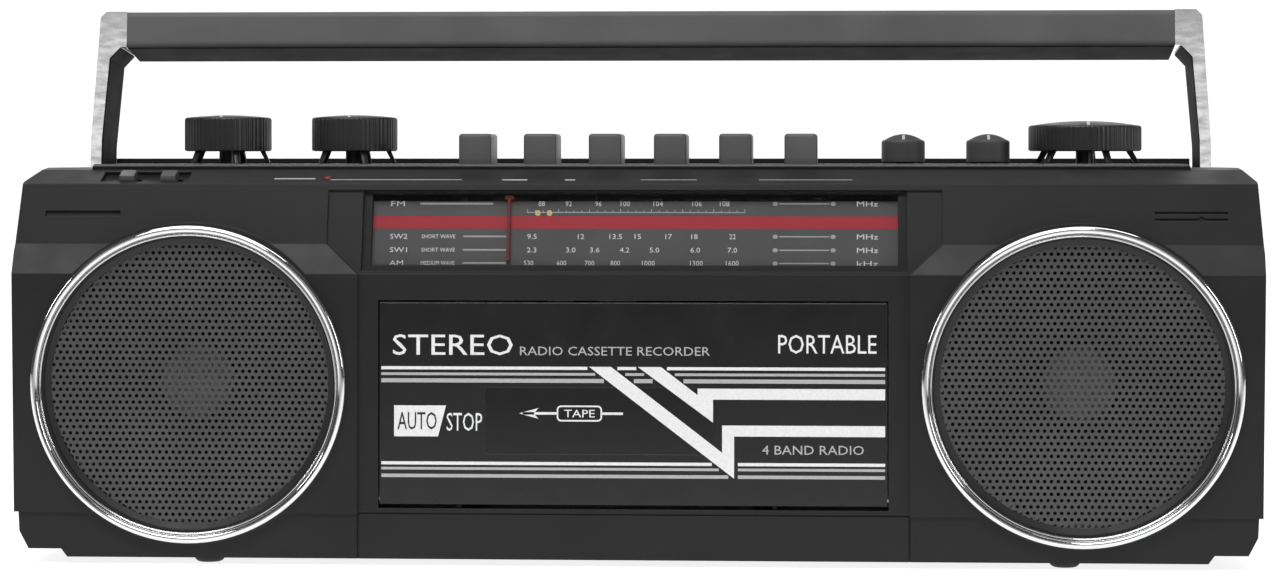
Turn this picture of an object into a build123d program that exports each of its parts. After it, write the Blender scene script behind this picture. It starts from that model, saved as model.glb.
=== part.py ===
from build123d import *
from math import cos, radians, sin

# A portable radio cassette recorder with two round speakers, six piano keys and a folding handle.
# Millimetres, +Z up, the front faces -Y. The origin is on the floor under the middle of the object.

# ---------------------------------------------------------------- driving dimensions
case_width = 400.0          # across the widest line of the two speaker ends
case_depth = 115.0          # from the front face to the rear wall
ring_proud = 3.0            # the speaker rings stand this far out of the front face
half_width = case_width / 2
front_y = ring_proud - (case_depth + ring_proud) / 2
rear_y = front_y + case_depth
case_top_z = 127.2          # top of the end shoulders
floor_gap = 2.2             # rubber feet hold the bottom plinth this far up
plinth_half = half_width - 18.0
end_raise = 2.6             # the ends of the bottom stand this much higher than the plinth
side_taper = 2.7            # each side leans in by this much towards the top
base_inset = 1.2            # the base band stands in by this much
base_band_z = 16.7          # top of the base band
widest_z = 100.0            # height of the widest line
wall = 2.2                  # moulded walls
bevel_low_z = 93.2          # bottom of the bevel above the front face
bevel_high_z = 102.7        # top of the bevel
bevel_setback = 5.0         # the upper face starts this far behind the front face
upper_top_z = 122.0         # top of the leaning upper face
upper_top_setback = 10.0    # and how far back it is there
parting_y = front_y + 72.0  # the front and rear cases meet here

centre_half = 88.0          # sunk centre panel between the speakers, half its width
centre_upper_half = 98.6    # the same above the bevel
centre_sink = 1.2           # how far the centre panel is sunk
groove = 0.5                # fine joint lines
dial_sink = 0.8             # how far the dial face is sunk under the upper face

speaker_x = half_width - 57.5
speaker_z = 57.9
ring_outer_r = 51.0         # chrome ring
ring_inner_r = ring_outer_r - 5.0
drum_r = ring_outer_r + 0.6  # cylinder of the case that carries the ring
grille_thick = 0.8
magnet_r = 22.0
magnet_thick = 12.0
cone_apex_r = 13.0

door_half = 81.0            # cassette door
door_low_z = 19.5
door_high_z = 84.5
door_thick = 2.4
door_gap = 0.4              # gap round the door
door_bottom_gap = 1.1       # larger below, where the edge swings down
cassette_x = -5.2           # middle of the cassette
hub_z = 46.5                # height of its two hubs
hub_spacing = 42.5
cassette_width = 100.4
cassette_height = 63.8
cassette_thick = 12.0
window_width = 73.4         # smoked window in the door
window_height = 21.0
window_x = -10.3

key_count = 6
key_pitch = 21.3
key_width = 10.7
key_depth = 22.0
key_front_y = front_y + 28.0
key_top_z = 138.3
key_pivot_y = key_front_y + 36.0
key_pivot_z = 116.0
key_shaft_r = 2.0

deck_half = half_width - 21.5  # top control panel
deck_front_y = front_y + 23.0
deck_rear_y = rear_y - 24.0
deck_top_z = 128.4
deck_thick = 2.4
knob_y = front_y + 53.0
tuning_x = speaker_x + 4.3
pot_r = 8.5
knob_shaft_r = 3.0

handle_pivot_y = rear_y - 28.5
handle_pivot_z = 123.5
handle_lean = 6.0           # degrees the handle leans back as it stands
arm_outer_low = half_width - 9.4   # outside of the arm at the pivot
arm_outer_high = half_width - 11.8  # and at the top
arm_thick = 3.7
arm_depth = 24.0
grip_half = half_width - 21.0
grip_low = 44.1             # the grip along the arm, measured from the pivot
grip_high = 56.3
grip_swell = 2.1            # its underside hangs this much lower at the back
grip_edge = 2.0
channel_inner = half_width - 15.0  # channel that the arm folds down into
channel_outer = half_width - 8.4
channel_floor_z = handle_pivot_z - arm_depth / 2 - 1.0
pivot_pin_r = 2.2

ridge_front_y = rear_y - 23.7  # raised ridge across the top
ridge_top_z = 130.2
rabbet_front_y = rear_y - 10.5  # open notch along the top of the rear wall for the aerial
rabbet_floor_z = 118.0
aerial_x = channel_inner - 14.0
aerial_y = rear_y - 5.6
aerial_z = 124.6
aerial_length = 165.0

battery_x = -66.0           # battery bay for four D cells
battery_bay_width = 130.0
battery_bay_height = 72.0
battery_bay_low_z = 12.0
battery_bay_depth = 36.0
battery_lip = 4.0           # the cover overlaps the bay by this much

foot_x = half_width - 62.5
foot_y = 45.0
foot_r = 5.0
foot_recess = 1.0
screw_head_r = 3.0
screw_shank_r = 1.5
screw_length = 22.0
post_r = 4.5

# ---------------------------------------------------------------- clearances
running = 0.05              # radial play of a shaft in its hole
slip = 0.3                  # free play beside a moving piece
loose = 0.5

# ---------------------------------------------------------------- derived places
bottom_z = floor_gap
end_bottom_z = bottom_z + end_raise
upper_slope = (upper_top_setback - bevel_setback) / (upper_top_z - bevel_high_z)
upper_normal = Vector(0, -1, upper_slope).normalized()
centre_y = front_y + centre_sink
parting = Plane(origin=(0, parting_y, 0), x_dir=(1, 0, 0), z_dir=(0, 1, 0))
sides = {"left": -1, "right": 1}


def save(builder, name):
    """Labels a finished piece and writes it as its own STEP file."""
    builder.part.label = name
    export_step(builder.part, f"parts/{name}.step")


def upper_face_y(z):
    """Depth of the leaning upper face at a height."""
    return front_y + bevel_setback + (z - bevel_high_z) * upper_slope


def upper_plane(z, sink, x=0.0):
    """Plane on the leaning upper face, its local y running up the slope."""
    origin = Vector(x, upper_face_y(z), z) - upper_normal * sink
    return Plane(origin=origin, x_dir=(1, 0, 0), z_dir=upper_normal)


def facing_front(x, y, z):
    """Plane whose normal points out of the front; its local y is up."""
    return Plane(origin=(x, y, z), x_dir=(1, 0, 0), z_dir=(0, -1, 0))


def dome_radius(radius, height):
    """Radius of the sphere whose cap has this base radius and height."""
    return (radius**2 + height**2) / (2 * height)


def block(low, high, mode=Mode.ADD):
    """Adds or cuts a box given by its two corners in the current part."""
    middle = tuple((low[i] + high[i]) / 2 for i in range(3))
    size = tuple(high[i] - low[i] for i in range(3))
    with Locations(middle):
        Box(*size, mode=mode)


def rod(x, z, y_from, y_to, radius, mode=Mode.ADD):
    """Adds or cuts a round bar along Y in the current part."""
    with BuildSketch(facing_front(x, y_from, z)) as section:
        Circle(radius)
    extrude(section.sketch, amount=-(y_to - y_from), mode=mode)


def upright(x, y, z_from, z_to, radius, mode=Mode.ADD):
    """Adds or cuts a round bar along Z in the current part."""
    with BuildSketch(Plane.XY.offset(z_from)) as section:
        with Locations((x, y)):
            Circle(radius)
    extrude(section.sketch, amount=z_to - z_from, mode=mode)


# ---------------------------------------------------------------- case shell
def case_body(inset):
    """Outside of the case, or its hollow when inset is the wall thickness."""
    half = half_width
    base = half - base_inset
    with BuildPart() as body:
        with BuildSketch(Plane.YZ):
            with BuildLine():
                Polyline(
                    (front_y + base_inset, bottom_z),
                    (front_y + base_inset, base_band_z),
                    (front_y, base_band_z),
                    (front_y, bevel_low_z),
                    (front_y + bevel_setback, bevel_high_z),
                    (front_y + upper_top_setback, upper_top_z),
                    (deck_front_y - 1.0, case_top_z - 0.7),
                    (deck_front_y + 5.0, case_top_z),
                    (rear_y - 3.0, case_top_z),
                    (rear_y, case_top_z - 3.0),
                    (rear_y, bottom_z + 3.0),
                    (rear_y - 3.0, bottom_z),
                    close=True,
                )
            make_face()
            if inset:
                offset(amount=-inset, kind=Kind.INTERSECTION)
        extrude(amount=half, both=True)
        with BuildSketch(Plane.XZ):
            with BuildLine():
                Polyline(
                    (plinth_half, bottom_z),
                    (plinth_half + 2.0, end_bottom_z),
                    (base - 4.2, end_bottom_z),
                    (base - 1.2, end_bottom_z + 5.7),
                    (base - 0.9, base_band_z),
                    (half - 0.9, base_band_z),
                    (half, widest_z),
                    (half - side_taper + 1.2, case_top_z - 4.5),
                    (half - side_taper - 3.0, case_top_z),
                    (0, case_top_z),
                    (0, bottom_z),
                    close=True,
                )
            make_face()
            mirror(about=Plane.YZ)
            if inset:
                offset(amount=-inset, kind=Kind.INTERSECTION)
        extrude(amount=case_depth, both=True, mode=Mode.INTERSECT)
    return body.part


# local y of the dial opening, measured from the middle of the dial up the slope
dial_middle_z = 106.8
dial_frame_half = 15.0
dial_frame_thick = 4.0
dial_low = -10.5
dial_high = 13.2
dial_half = 84.5
dial_window_half = 87.3
dial_window_low = -12.8
dial_window_high = 13.8
dial_window_thick = 1.5
scale_plate_thick = 0.8
dial = upper_plane(dial_middle_z, dial_sink)

door_pivot_y = centre_y + 2.0
door_pivot_z = door_low_z + 1.8
door_pin_r = 0.8
door_back_y = centre_y + door_thick
chassis_y = centre_y + 18.8
chassis_thick = 1.2
chassis_half = 90.0
chassis_post_x = 87.0
chassis_post_r = 3.0
bay_low_x = battery_x - battery_bay_width / 2
bay_high_x = battery_x + battery_bay_width / 2
bay_high_z = battery_bay_low_z + battery_bay_height
bay_front_y = rear_y - wall - battery_bay_depth
channel_front_y = handle_pivot_y - arm_depth / 2 - 1.5
aerial_r = 3.0
inlet_x = 96.0
inlet_z = 30.0
inlet_width = 20.0
inlet_height = 13.0
corner_screw_x = half_width - 14.0
screw_head_y = parting_y + 12.0
screw_places = [
    (-corner_screw_x, 15),
    (corner_screw_x, 15),
    (-corner_screw_x, 101),
    (corner_screw_x, 101),
    (-centre_half, 11),
    (centre_half, 11),
]

with BuildPart() as hollow:
    add(case_body(wall))
    # solid places left inside the hollow
    with BuildSketch(dial):
        Rectangle(2 * centre_upper_half + 5, 2 * dial_frame_half)
    extrude(amount=-dial_frame_thick, mode=Mode.SUBTRACT)
    for side in sides.values():
        rod(side * speaker_x, speaker_z, front_y, front_y + 9.0, drum_r, Mode.SUBTRACT)
        low_x = min(side * (channel_inner - wall), side * half_width)
        high_x = max(side * (channel_inner - wall), side * half_width)
        block((low_x, channel_front_y - wall, channel_floor_z - wall), (high_x, rear_y, case_top_z),
              Mode.SUBTRACT)
    block((-channel_inner, rabbet_front_y - wall, rabbet_floor_z - wall),
          (channel_inner, rear_y, case_top_z), Mode.SUBTRACT)
    # the wall keeps its thickness behind the sunk centre panel
    block((-centre_upper_half - wall, front_y, bottom_z),
          (centre_upper_half + wall, centre_y + wall, bevel_high_z), Mode.SUBTRACT)
    block((bay_low_x - wall, bay_front_y - wall, battery_bay_low_z - wall),
          (bay_high_x + wall, rear_y, bay_high_z + wall), Mode.SUBTRACT)
    for x, z in screw_places:
        rod(x, z, front_y, rear_y, post_r, Mode.SUBTRACT)
    for side in sides.values():
        for z in (door_low_z + 2.0, door_high_z + 4.0):
            rod(side * chassis_post_x, z, front_y, chassis_y, chassis_post_r, Mode.SUBTRACT)
        edge = side * (door_half + door_gap)
        block((min(edge, edge + side * 5.5), front_y, door_low_z - 3.0),
              (max(edge, edge + side * 5.5), door_pivot_y + 3.5, door_pivot_z + 4.0), Mode.SUBTRACT)

with BuildPart() as case_shell:
    add(case_body(0))
    # the drums that carry the speaker rings stand out of the bevel
    for side in sides.values():
        rod(side * speaker_x, speaker_z, front_y, front_y + 9.0, drum_r)
    # ridge across the top behind the control panel
    block((-channel_inner, ridge_front_y, case_top_z - 4), (channel_inner, rabbet_front_y, ridge_top_z))
    add(hollow.part, mode=Mode.SUBTRACT)
    # seat of the control panel
    block((-deck_half - 0.2, deck_front_y - 0.2, deck_top_z - deck_thick),
          (deck_half + 0.2, deck_rear_y + 0.3, case_top_z + 1), Mode.SUBTRACT)


# ---------------------------------------------------------------- front case
grille_seat_y = front_y + 3.0
ledge_back_y = grille_seat_y + 2.2
grille_r = ring_inner_r + 0.8
grille_open_r = ring_inner_r - 1.0
basket_r = drum_r - 3.4
basket_inner_r = grille_open_r - 3.0
lug_x = key_pitch * (key_count - 1) / 2 + key_width / 2 + 3.0
lug_thick = 2.5
deck_well_half = lug_x + lug_thick + loose
deck_well_front_y = key_front_y - 3.5


def knob_places():
    """Name, x, radius, height of the top and size of the dome of each turning knob."""
    return [
        ("volume_knob", -speaker_x + 3.5, 14.5, 144.7, 0.8),
        ("tone_knob", -96.3, 14.3, 144.7, 0.8),
        ("function_knob", 86.9, 7.2, 138.3, 2.0),
        ("band_knob", 114.9, 7.2, 138.3, 2.0),
        ("tuning_knob", tuning_x, 18.6, 142.6, 1.5),
    ]


low_knobs = ("function_knob", "band_knob")  # the others stand on flared legs


switch_places = {"mode_switch": -half_width + 34.8, "noise_switch": -half_width + 48.3}
switch_travel = 3.0
switch_lever_width = 1.6
switch_width = 5.5
switch_length = 6.0
switch_pocket_depth = 1.4
switch_pocket_low_x = -half_width + 26.5
switch_pocket_high_x = -half_width + 55.0
slope_length = 9.0
slope_front_y = front_y + upper_top_setback
slope_rear_y = deck_front_y - 1.0
slope_rise = case_top_z - 0.7 - upper_top_z
slope_normal = Vector(0, -slope_rise, slope_rear_y - slope_front_y).normalized()
slope_middle_y = (slope_front_y + slope_rear_y) / 2
slope_middle_z = upper_top_z + slope_rise / 2


def slope_plane(x, height):
    """Plane over the sloping top edge of the front, at a height above its surface."""
    origin = Vector(x, slope_middle_y, slope_middle_z) + slope_normal * height
    return Plane(origin=origin, x_dir=(1, 0, 0), z_dir=slope_normal)


with BuildPart() as front_case:
    add(case_shell.part)
    split(bisect_by=parting, keep=Keep.BOTTOM)
    # sunk centre panel below the bevel
    block((-centre_half, front_y - 1, bottom_z - 1), (centre_half, centre_y, bevel_low_z), Mode.SUBTRACT)
    # the leaning dial face, mitred at its lower corners
    with BuildPart(mode=Mode.PRIVATE) as dial_recess:
        with BuildSketch(dial):
            Rectangle(3 * centre_upper_half, 2 * dial_frame_half + 6)
        extrude(amount=12)
        with BuildSketch(Plane.XZ):
            with BuildLine():
                Polyline(
                    (-centre_upper_half, upper_top_z - 2.0),
                    (-centre_upper_half, bevel_high_z),
                    (-centre_half, bevel_low_z),
                    (centre_half, bevel_low_z),
                    (centre_upper_half, bevel_high_z),
                    (centre_upper_half, upper_top_z - 2.0),
                    close=True,
                )
            make_face()
        extrude(amount=case_depth, both=True, mode=Mode.INTERSECT)
    add(dial_recess.part, mode=Mode.SUBTRACT)
    # fine grooves where the centre meets the base band
    for side in sides.values():
        block((side * centre_half - groove / 2, centre_y - 0.1, bottom_z - 1),
              (side * centre_half + groove / 2, centre_y + groove, base_band_z), Mode.SUBTRACT)
    block((-centre_half, centre_y - 0.1, base_band_z - groove / 2),
          (centre_half, centre_y + groove, base_band_z + groove / 2), Mode.SUBTRACT)
    # rebate and opening of the dial window
    with BuildSketch(dial):
        with Locations((0, (dial_window_low + dial_window_high) / 2)):
            Rectangle(2 * dial_window_half, dial_window_high - dial_window_low)
    extrude(amount=-dial_window_thick, mode=Mode.SUBTRACT)
    with BuildSketch(dial):
        with Locations((0, (dial_low + dial_high) / 2)):
            Rectangle(2 * dial_half, dial_high - dial_low)
    extrude(amount=-dial_frame_thick - 6, mode=Mode.SUBTRACT)
    # speaker bores: a seat for the grille, a ledge and a housing for the basket
    for side in sides.values():
        rod(side * speaker_x, speaker_z, front_y - 1, grille_seat_y, grille_r, Mode.SUBTRACT)
        rod(side * speaker_x, speaker_z, grille_seat_y, ledge_back_y, grille_open_r, Mode.SUBTRACT)
        rod(side * speaker_x, speaker_z, ledge_back_y, front_y + 12, basket_r, Mode.SUBTRACT)
    # door opening with room for the lower edge to swing
    block((-door_half - door_gap, front_y - 1, door_low_z - door_bottom_gap),
          (door_half + door_gap, centre_y + wall + 3, door_high_z + door_gap), Mode.SUBTRACT)
    for side in sides.values():
        with BuildSketch(Plane.YZ.offset(side * (door_half + door_gap + 3))):
            with Locations((door_pivot_y, door_pivot_z)):
                Circle(door_pin_r)
        extrude(amount=4, both=True, mode=Mode.SUBTRACT)
    # well under the control panel for the keys
    block((-deck_well_half, deck_well_front_y, deck_top_z - 10),
          (deck_well_half, parting_y, case_top_z), Mode.SUBTRACT)
    for name, x, radius, top, dome in knob_places():
        upright(x, knob_y, case_top_z - 8, case_top_z, pot_r - 3.5, Mode.SUBTRACT)
    # pocket of the two slide switches on the sloping top edge, with a slot for each lever
    with BuildSketch(slope_plane((switch_pocket_low_x + switch_pocket_high_x) / 2, 0)):
        Rectangle(switch_pocket_high_x - switch_pocket_low_x, slope_length)
    extrude(amount=-switch_pocket_depth, mode=Mode.SUBTRACT)
    for x in switch_places.values():
        with BuildSketch(slope_plane(x + switch_travel / 2, 0)):
            Rectangle(switch_lever_width + switch_travel + 1.0, 2.4)
        extrude(amount=-switch_pocket_depth - wall - 2, mode=Mode.SUBTRACT)
    # a sunk slot on the left end, two fine grooves and a microphone hole on the right end
    with BuildSketch(upper_plane(112.5, 0, -half_width + 21.7)):
        Rectangle(24.4, 1.7)
    extrude(amount=-1.0, mode=Mode.SUBTRACT)
    with BuildSketch(upper_plane(111.8, 0, half_width - 22.7)):
        with GridLocations(0, 2.2, 1, 2):
            Rectangle(22.9, 0.7)
        with Locations((3.2, -1.1)):
            Circle(1.0)
    extrude(amount=-0.7, mode=Mode.SUBTRACT)
    # seats of the two front feet
    for side in sides.values():
        upright(side * foot_x, -foot_y, bottom_z - 1, bottom_z + foot_recess, foot_r, Mode.SUBTRACT)
    # screw pilots
    for x, z in screw_places:
        rod(x, z, screw_head_y - screw_length, parting_y + 1, screw_shank_r, Mode.SUBTRACT)
save(front_case, "front_case")


# ---------------------------------------------------------------- rear case
louvre_rows = 9
louvre_pitch = 5.0
louvre_length = 44.0
louvre_x = speaker_x + 7.5
battery_door_gap = 0.3
battery_door_thick = 2.0
cover_low_z = battery_bay_low_z - battery_lip + 1.5
cover_high_z = bay_high_z + battery_lip
cover_low_x = bay_low_x - battery_lip
cover_high_x = bay_high_x + battery_lip
cover_hinge_r = battery_door_thick / 2     # the lower edge of the cover is rounded about its hinge
cover_hinge_y = rear_y - cover_hinge_r
cover_hinge_z = cover_low_z + cover_hinge_r
cover_pin_r = 0.6
cover_pin_length = 2.5

with BuildPart() as rear_case:
    add(case_shell.part)
    split(bisect_by=parting, keep=Keep.TOP)
    # parting groove
    with BuildSketch(parting):
        Rectangle(3 * case_width, 3 * case_width)
        Rectangle(case_width - 1.6, 2 * case_top_z - 1.4, mode=Mode.SUBTRACT)
    extrude(amount=0.6, mode=Mode.SUBTRACT)
    # channels for the handle arms and the notch for the aerial
    for side in sides.values():
        low_x = min(side * channel_inner, side * channel_outer)
        high_x = max(side * channel_inner, side * channel_outer)
        block((low_x, channel_front_y, channel_floor_z), (high_x, rear_y + 1, ridge_top_z + 1), Mode.SUBTRACT)
    # the notch runs out through the left end, where the aerial draws out
    block((-half_width, rabbet_front_y, rabbet_floor_z), (channel_inner, rear_y + 1, ridge_top_z + 1),
          Mode.SUBTRACT)
    with BuildSketch(Plane.YZ.offset(-half_width)):
        with Locations((handle_pivot_y, handle_pivot_z)):
            Circle(pivot_pin_r)
    extrude(amount=half_width - channel_inner + wall, mode=Mode.SUBTRACT)
    with BuildSketch(Plane.YZ.offset(half_width)):
        with Locations((handle_pivot_y, handle_pivot_z)):
            Circle(pivot_pin_r)
    extrude(amount=-(half_width - channel_inner + wall), mode=Mode.SUBTRACT)
    # battery bay, open through the rear wall, with a seat for its cover
    block((bay_low_x, bay_front_y, battery_bay_low_z), (bay_high_x, rear_y + 1, bay_high_z), Mode.SUBTRACT)
    block((cover_low_x - battery_door_gap, rear_y - battery_door_thick, cover_low_z - battery_door_gap),
          (cover_high_x + battery_door_gap, rear_y + 1, cover_high_z + battery_door_gap), Mode.SUBTRACT)
    # holes for the two pins of the cover
    with BuildSketch(Plane.YZ.offset(cover_low_x - cover_pin_length - battery_door_gap)):
        with Locations((cover_hinge_y, cover_hinge_z)):
            Circle(cover_pin_r + running)
    extrude(amount=battery_bay_width + 2 * (battery_lip + cover_pin_length + battery_door_gap),
            mode=Mode.SUBTRACT)
    # louvres behind each speaker
    for side in sides.values():
        middle = (side * louvre_x, rear_y + 1, speaker_z)
        with BuildSketch(Plane(origin=middle, x_dir=(-1, 0, 0), z_dir=(0, 1, 0))):
            with GridLocations(0, louvre_pitch, 1, louvre_rows):
                SlotOverall(louvre_length, 2.0)
        if side > 0:
            extrude(amount=-wall - 2, mode=Mode.SUBTRACT)
        else:
            extrude(amount=-wall + 0.8, mode=Mode.SUBTRACT)
    # mains inlet
    block((inlet_x - inlet_width / 2, rear_y - 3 * wall, inlet_z - inlet_height / 2),
          (inlet_x + inlet_width / 2, rear_y + 1, inlet_z + inlet_height / 2), Mode.SUBTRACT)
    # seats of the two rear feet
    for side in sides.values():
        upright(side * foot_x, foot_y, bottom_z - 1, bottom_z + foot_recess, foot_r, Mode.SUBTRACT)
    # counterbored screw holes
    for x, z in screw_places:
        rod(x, z, parting_y - 1, rear_y + 1, screw_shank_r + 0.1, Mode.SUBTRACT)
        rod(x, z, screw_head_y, rear_y + 1, screw_head_r, Mode.SUBTRACT)
save(rear_case, "rear_case")

with BuildPart() as case_screws:
    for x, z in screw_places:
        rod(x, z, screw_head_y - screw_length, screw_head_y, screw_shank_r)
        rod(x, z, screw_head_y, screw_head_y + 2.2, screw_head_r)
        with Locations(Location((x, screw_head_y + 2.2, z))):
            Box(0.8, 2.0, 3.6, mode=Mode.SUBTRACT)
            Box(3.6, 2.0, 0.8, mode=Mode.SUBTRACT)
save(case_screws, "case_screws")

with BuildPart() as rubber_feet:
    for side in sides.values():
        for y in (-foot_y, foot_y):
            with BuildPart(mode=Mode.PRIVATE) as foot:
                with BuildSketch(Plane.XZ.offset(-y)):
                    with BuildLine():
                        Polyline((side * foot_x, 0), (side * foot_x + 3.0, 0))
                        ThreePointArc(
                            (side * foot_x + 3.0, 0),
                            (side * foot_x + 4.4, 0.6),
                            (side * foot_x + foot_r, bottom_z),
                        )
                        Polyline(
                            (side * foot_x + foot_r, bottom_z),
                            (side * foot_x + foot_r, bottom_z + foot_recess),
                            (side * foot_x, bottom_z + foot_recess),
                            (side * foot_x, 0),
                        )
                    make_face()
                revolve(axis=Axis((side * foot_x, y, 0), (0, 0, 1)))
            add(foot.part)
save(rubber_feet, "rubber_feet")


# ---------------------------------------------------------------- top control panel
key_places = [(i - (key_count - 1) / 2) * key_pitch for i in range(key_count)]
key_names = ["record_key", "play_key", "rewind_key", "forward_key", "stop_key", "pause_key"]

with BuildPart() as top_deck_panel:
    block((-deck_half, deck_front_y, deck_top_z - deck_thick), (deck_half, deck_rear_y, deck_top_z))
    chamfer(top_deck_panel.edges().group_by(Axis.Z)[-1], 0.6)
    for x in key_places:
        block((x - key_width / 2 - loose, key_front_y - 1.9, deck_top_z - deck_thick - 1),
              (x + key_width / 2 + loose, key_front_y + key_depth + 1.0, deck_top_z + 1), Mode.SUBTRACT)
    for name, x, radius, top, dome in knob_places():
        upright(x, knob_y, deck_top_z - deck_thick - 1, deck_top_z + 1, knob_shaft_r + 2, Mode.SUBTRACT)
    # two lugs carry the shaft of the keys
    for side in sides.values():
        low_x = min(side * lug_x, side * (lug_x + lug_thick))
        block((low_x, key_pivot_y - 5, key_pivot_z - 4), (low_x + lug_thick, key_pivot_y + 5, deck_top_z - 1))
    with BuildSketch(Plane.YZ.offset(-lug_x - 10)):
        with Locations((key_pivot_y, key_pivot_z)):
            Circle(key_shaft_r)
    extrude(amount=2 * lug_x + 20, mode=Mode.SUBTRACT)
save(top_deck_panel, "top_deck_panel")

with BuildPart() as key_shaft:
    with BuildSketch(Plane.YZ.offset(-lug_x - lug_thick)):
        with Locations((key_pivot_y, key_pivot_z)):
            Circle(key_shaft_r)
    extrude(amount=2 * (lug_x + lug_thick))
save(key_shaft, "key_shaft")

for name, x in zip(key_names, key_places):
    with BuildPart() as key:
        with BuildSketch(Plane.YZ.offset(x - key_width / 2)):
            with BuildLine():
                Polyline(
                    (key_front_y, key_pivot_z + 4.0),
                    (key_front_y, key_top_z),
                    (key_front_y + key_depth, key_top_z),
                    (key_front_y + key_depth, key_pivot_z + 4.0),
                    close=True,
                )
            make_face()
        extrude(amount=key_width)
        chamfer(key.edges().group_by(Axis.Z)[-1], 1.0)
        with BuildSketch(Plane.YZ.offset(x - key_width / 4)):
            with BuildLine():
                Polyline(
                    (key_front_y + 3, key_pivot_z - 3.5),
                    (key_front_y + 3, key_pivot_z + 6.0),
                    (key_front_y + key_depth - 2, key_pivot_z + 6.0),
                    (key_pivot_y, key_pivot_z + 3.5),
                    (key_pivot_y, key_pivot_z - 3.5),
                    close=True,
                )
            make_face()
            with Locations((key_pivot_y, key_pivot_z)):
                Circle(3.5)
                Circle(key_shaft_r + running, mode=Mode.SUBTRACT)
        extrude(amount=key_width / 2)
    save(key, name)


# ---------------------------------------------------------------- knobs and controls
skirt_top = deck_top_z + 4.2
drum_z = 103.0              # height of the dial cord
drum_radius = 12.0
cord_r = 0.4

leg_count = 5
leg_width = 2.0
deck_play = 0.4             # knobs turn this far above the deck

for name, x, radius, top, dome in knob_places():
    shaft_low = drum_z - 6 if name == "tuning_knob" else case_top_z - 14
    has_legs = name not in low_knobs
    body_low = skirt_top if has_legs else deck_top_z + deck_play
    with BuildPart() as knob:
        with BuildSketch(Plane.XZ.offset(-knob_y)):
            with BuildLine():
                Polyline(
                    (x, shaft_low),
                    (x + knob_shaft_r, shaft_low),
                    (x + knob_shaft_r, body_low),
                    (x + radius - 0.6, body_low),
                    (x + radius, body_low + 0.6),
                    (x + radius, top - dome - 0.8),
                    (x + radius - 0.8, top - dome),
                )
                RadiusArc((x + radius - 0.8, top - dome), (x, top), -dome_radius(radius - 0.8, dome))
                Line((x, top), (x, shaft_low))
            make_face()
        revolve(axis=Axis((x, knob_y, 0), (0, 0, 1)))
        for step in range(leg_count if has_legs else 0):
            turn = radians(5 + 360 * step / leg_count)
            radial = Plane(
                origin=(x, knob_y, 0), x_dir=(cos(turn), sin(turn), 0), z_dir=(sin(turn), -cos(turn), 0)
            )
            with BuildSketch(radial):
                with BuildLine():
                    Polyline(
                        (radius * 0.72, skirt_top + 0.5),
                        (radius * 0.84, skirt_top + 0.5),
                        (radius * 0.97, deck_top_z + deck_play),
                        (radius * 0.88, deck_top_z + deck_play),
                        close=True,
                    )
                make_face()
            extrude(amount=leg_width / 2, both=True)
    save(knob, name)

with BuildPart() as control_bodies:
    for name, x, radius, top, dome in knob_places():
        if name == "tuning_knob":
            block((x - 11, knob_y - 11, drum_z - 24), (x + 11, knob_y + 11, drum_z - 6))
            block((x - 13, knob_y + 5, drum_z - 22), (x + 13, parting_y + wall, drum_z - 8))
        else:
            upright(x, knob_y, case_top_z - 14, case_top_z - 3.4, pot_r)
            upright(x, knob_y, case_top_z - 3.4, deck_top_z - deck_thick, knob_shaft_r + 1.9)
            upright(x, knob_y, case_top_z - 15, deck_top_z, knob_shaft_r + running, Mode.SUBTRACT)
            upright(x, knob_y, case_top_z - 17, case_top_z - 14, pot_r - 1)
    # bodies of the two slide switches, held under the sloping edge
    for x in switch_places.values():
        with BuildSketch(slope_plane(x + switch_travel / 2, -switch_pocket_depth - wall)):
            Rectangle(11.0, slope_length - 1)
            Rectangle(switch_lever_width + switch_travel + 1.0, 2.4, mode=Mode.SUBTRACT)
        extrude(amount=-4.0)
    add(front_case.part, mode=Mode.SUBTRACT)
save(control_bodies, "control_bodies")

for name, x in switch_places.items():
    with BuildPart() as switch_cap:
        with BuildSketch(slope_plane(x, -switch_pocket_depth + 0.1)):
            Rectangle(switch_width, switch_length)
        extrude(amount=switch_pocket_depth + 1.2, taper=8)
        with BuildSketch(slope_plane(x, 0)):
            Rectangle(switch_lever_width, 2.0)
        extrude(amount=-switch_pocket_depth - wall - 3.5)
    save(switch_cap, name)


# ---------------------------------------------------------------- dial
pulley_r = 2.5
pulley_y = front_y + 18.5
left_pulley_x = -93.0
right_pulley_x = 104.0
pointer_x = -40.4
pointer_depth = 2.1
pointer_thick = 1.0
scale_high = dial_high - 2.0
cord_front_y = pulley_y - pulley_r - cord_r

with BuildPart() as dial_window:
    with BuildSketch(dial):
        with Locations((0, (dial_window_low + dial_window_high) / 2)):
            Rectangle(2 * dial_window_half, dial_window_high - dial_window_low)
    extrude(amount=-dial_window_thick)
save(dial_window, "dial_window")

with BuildPart() as dial_scale_plate:
    with BuildSketch(dial.offset(-dial_frame_thick)):
        with Locations((0, (dial_low - 2.5 + scale_high) / 2)):
            Rectangle(2 * dial_half + 6, scale_high - dial_low + 2.5)
    extrude(amount=-scale_plate_thick)
save(dial_scale_plate, "dial_scale_plate")

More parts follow.
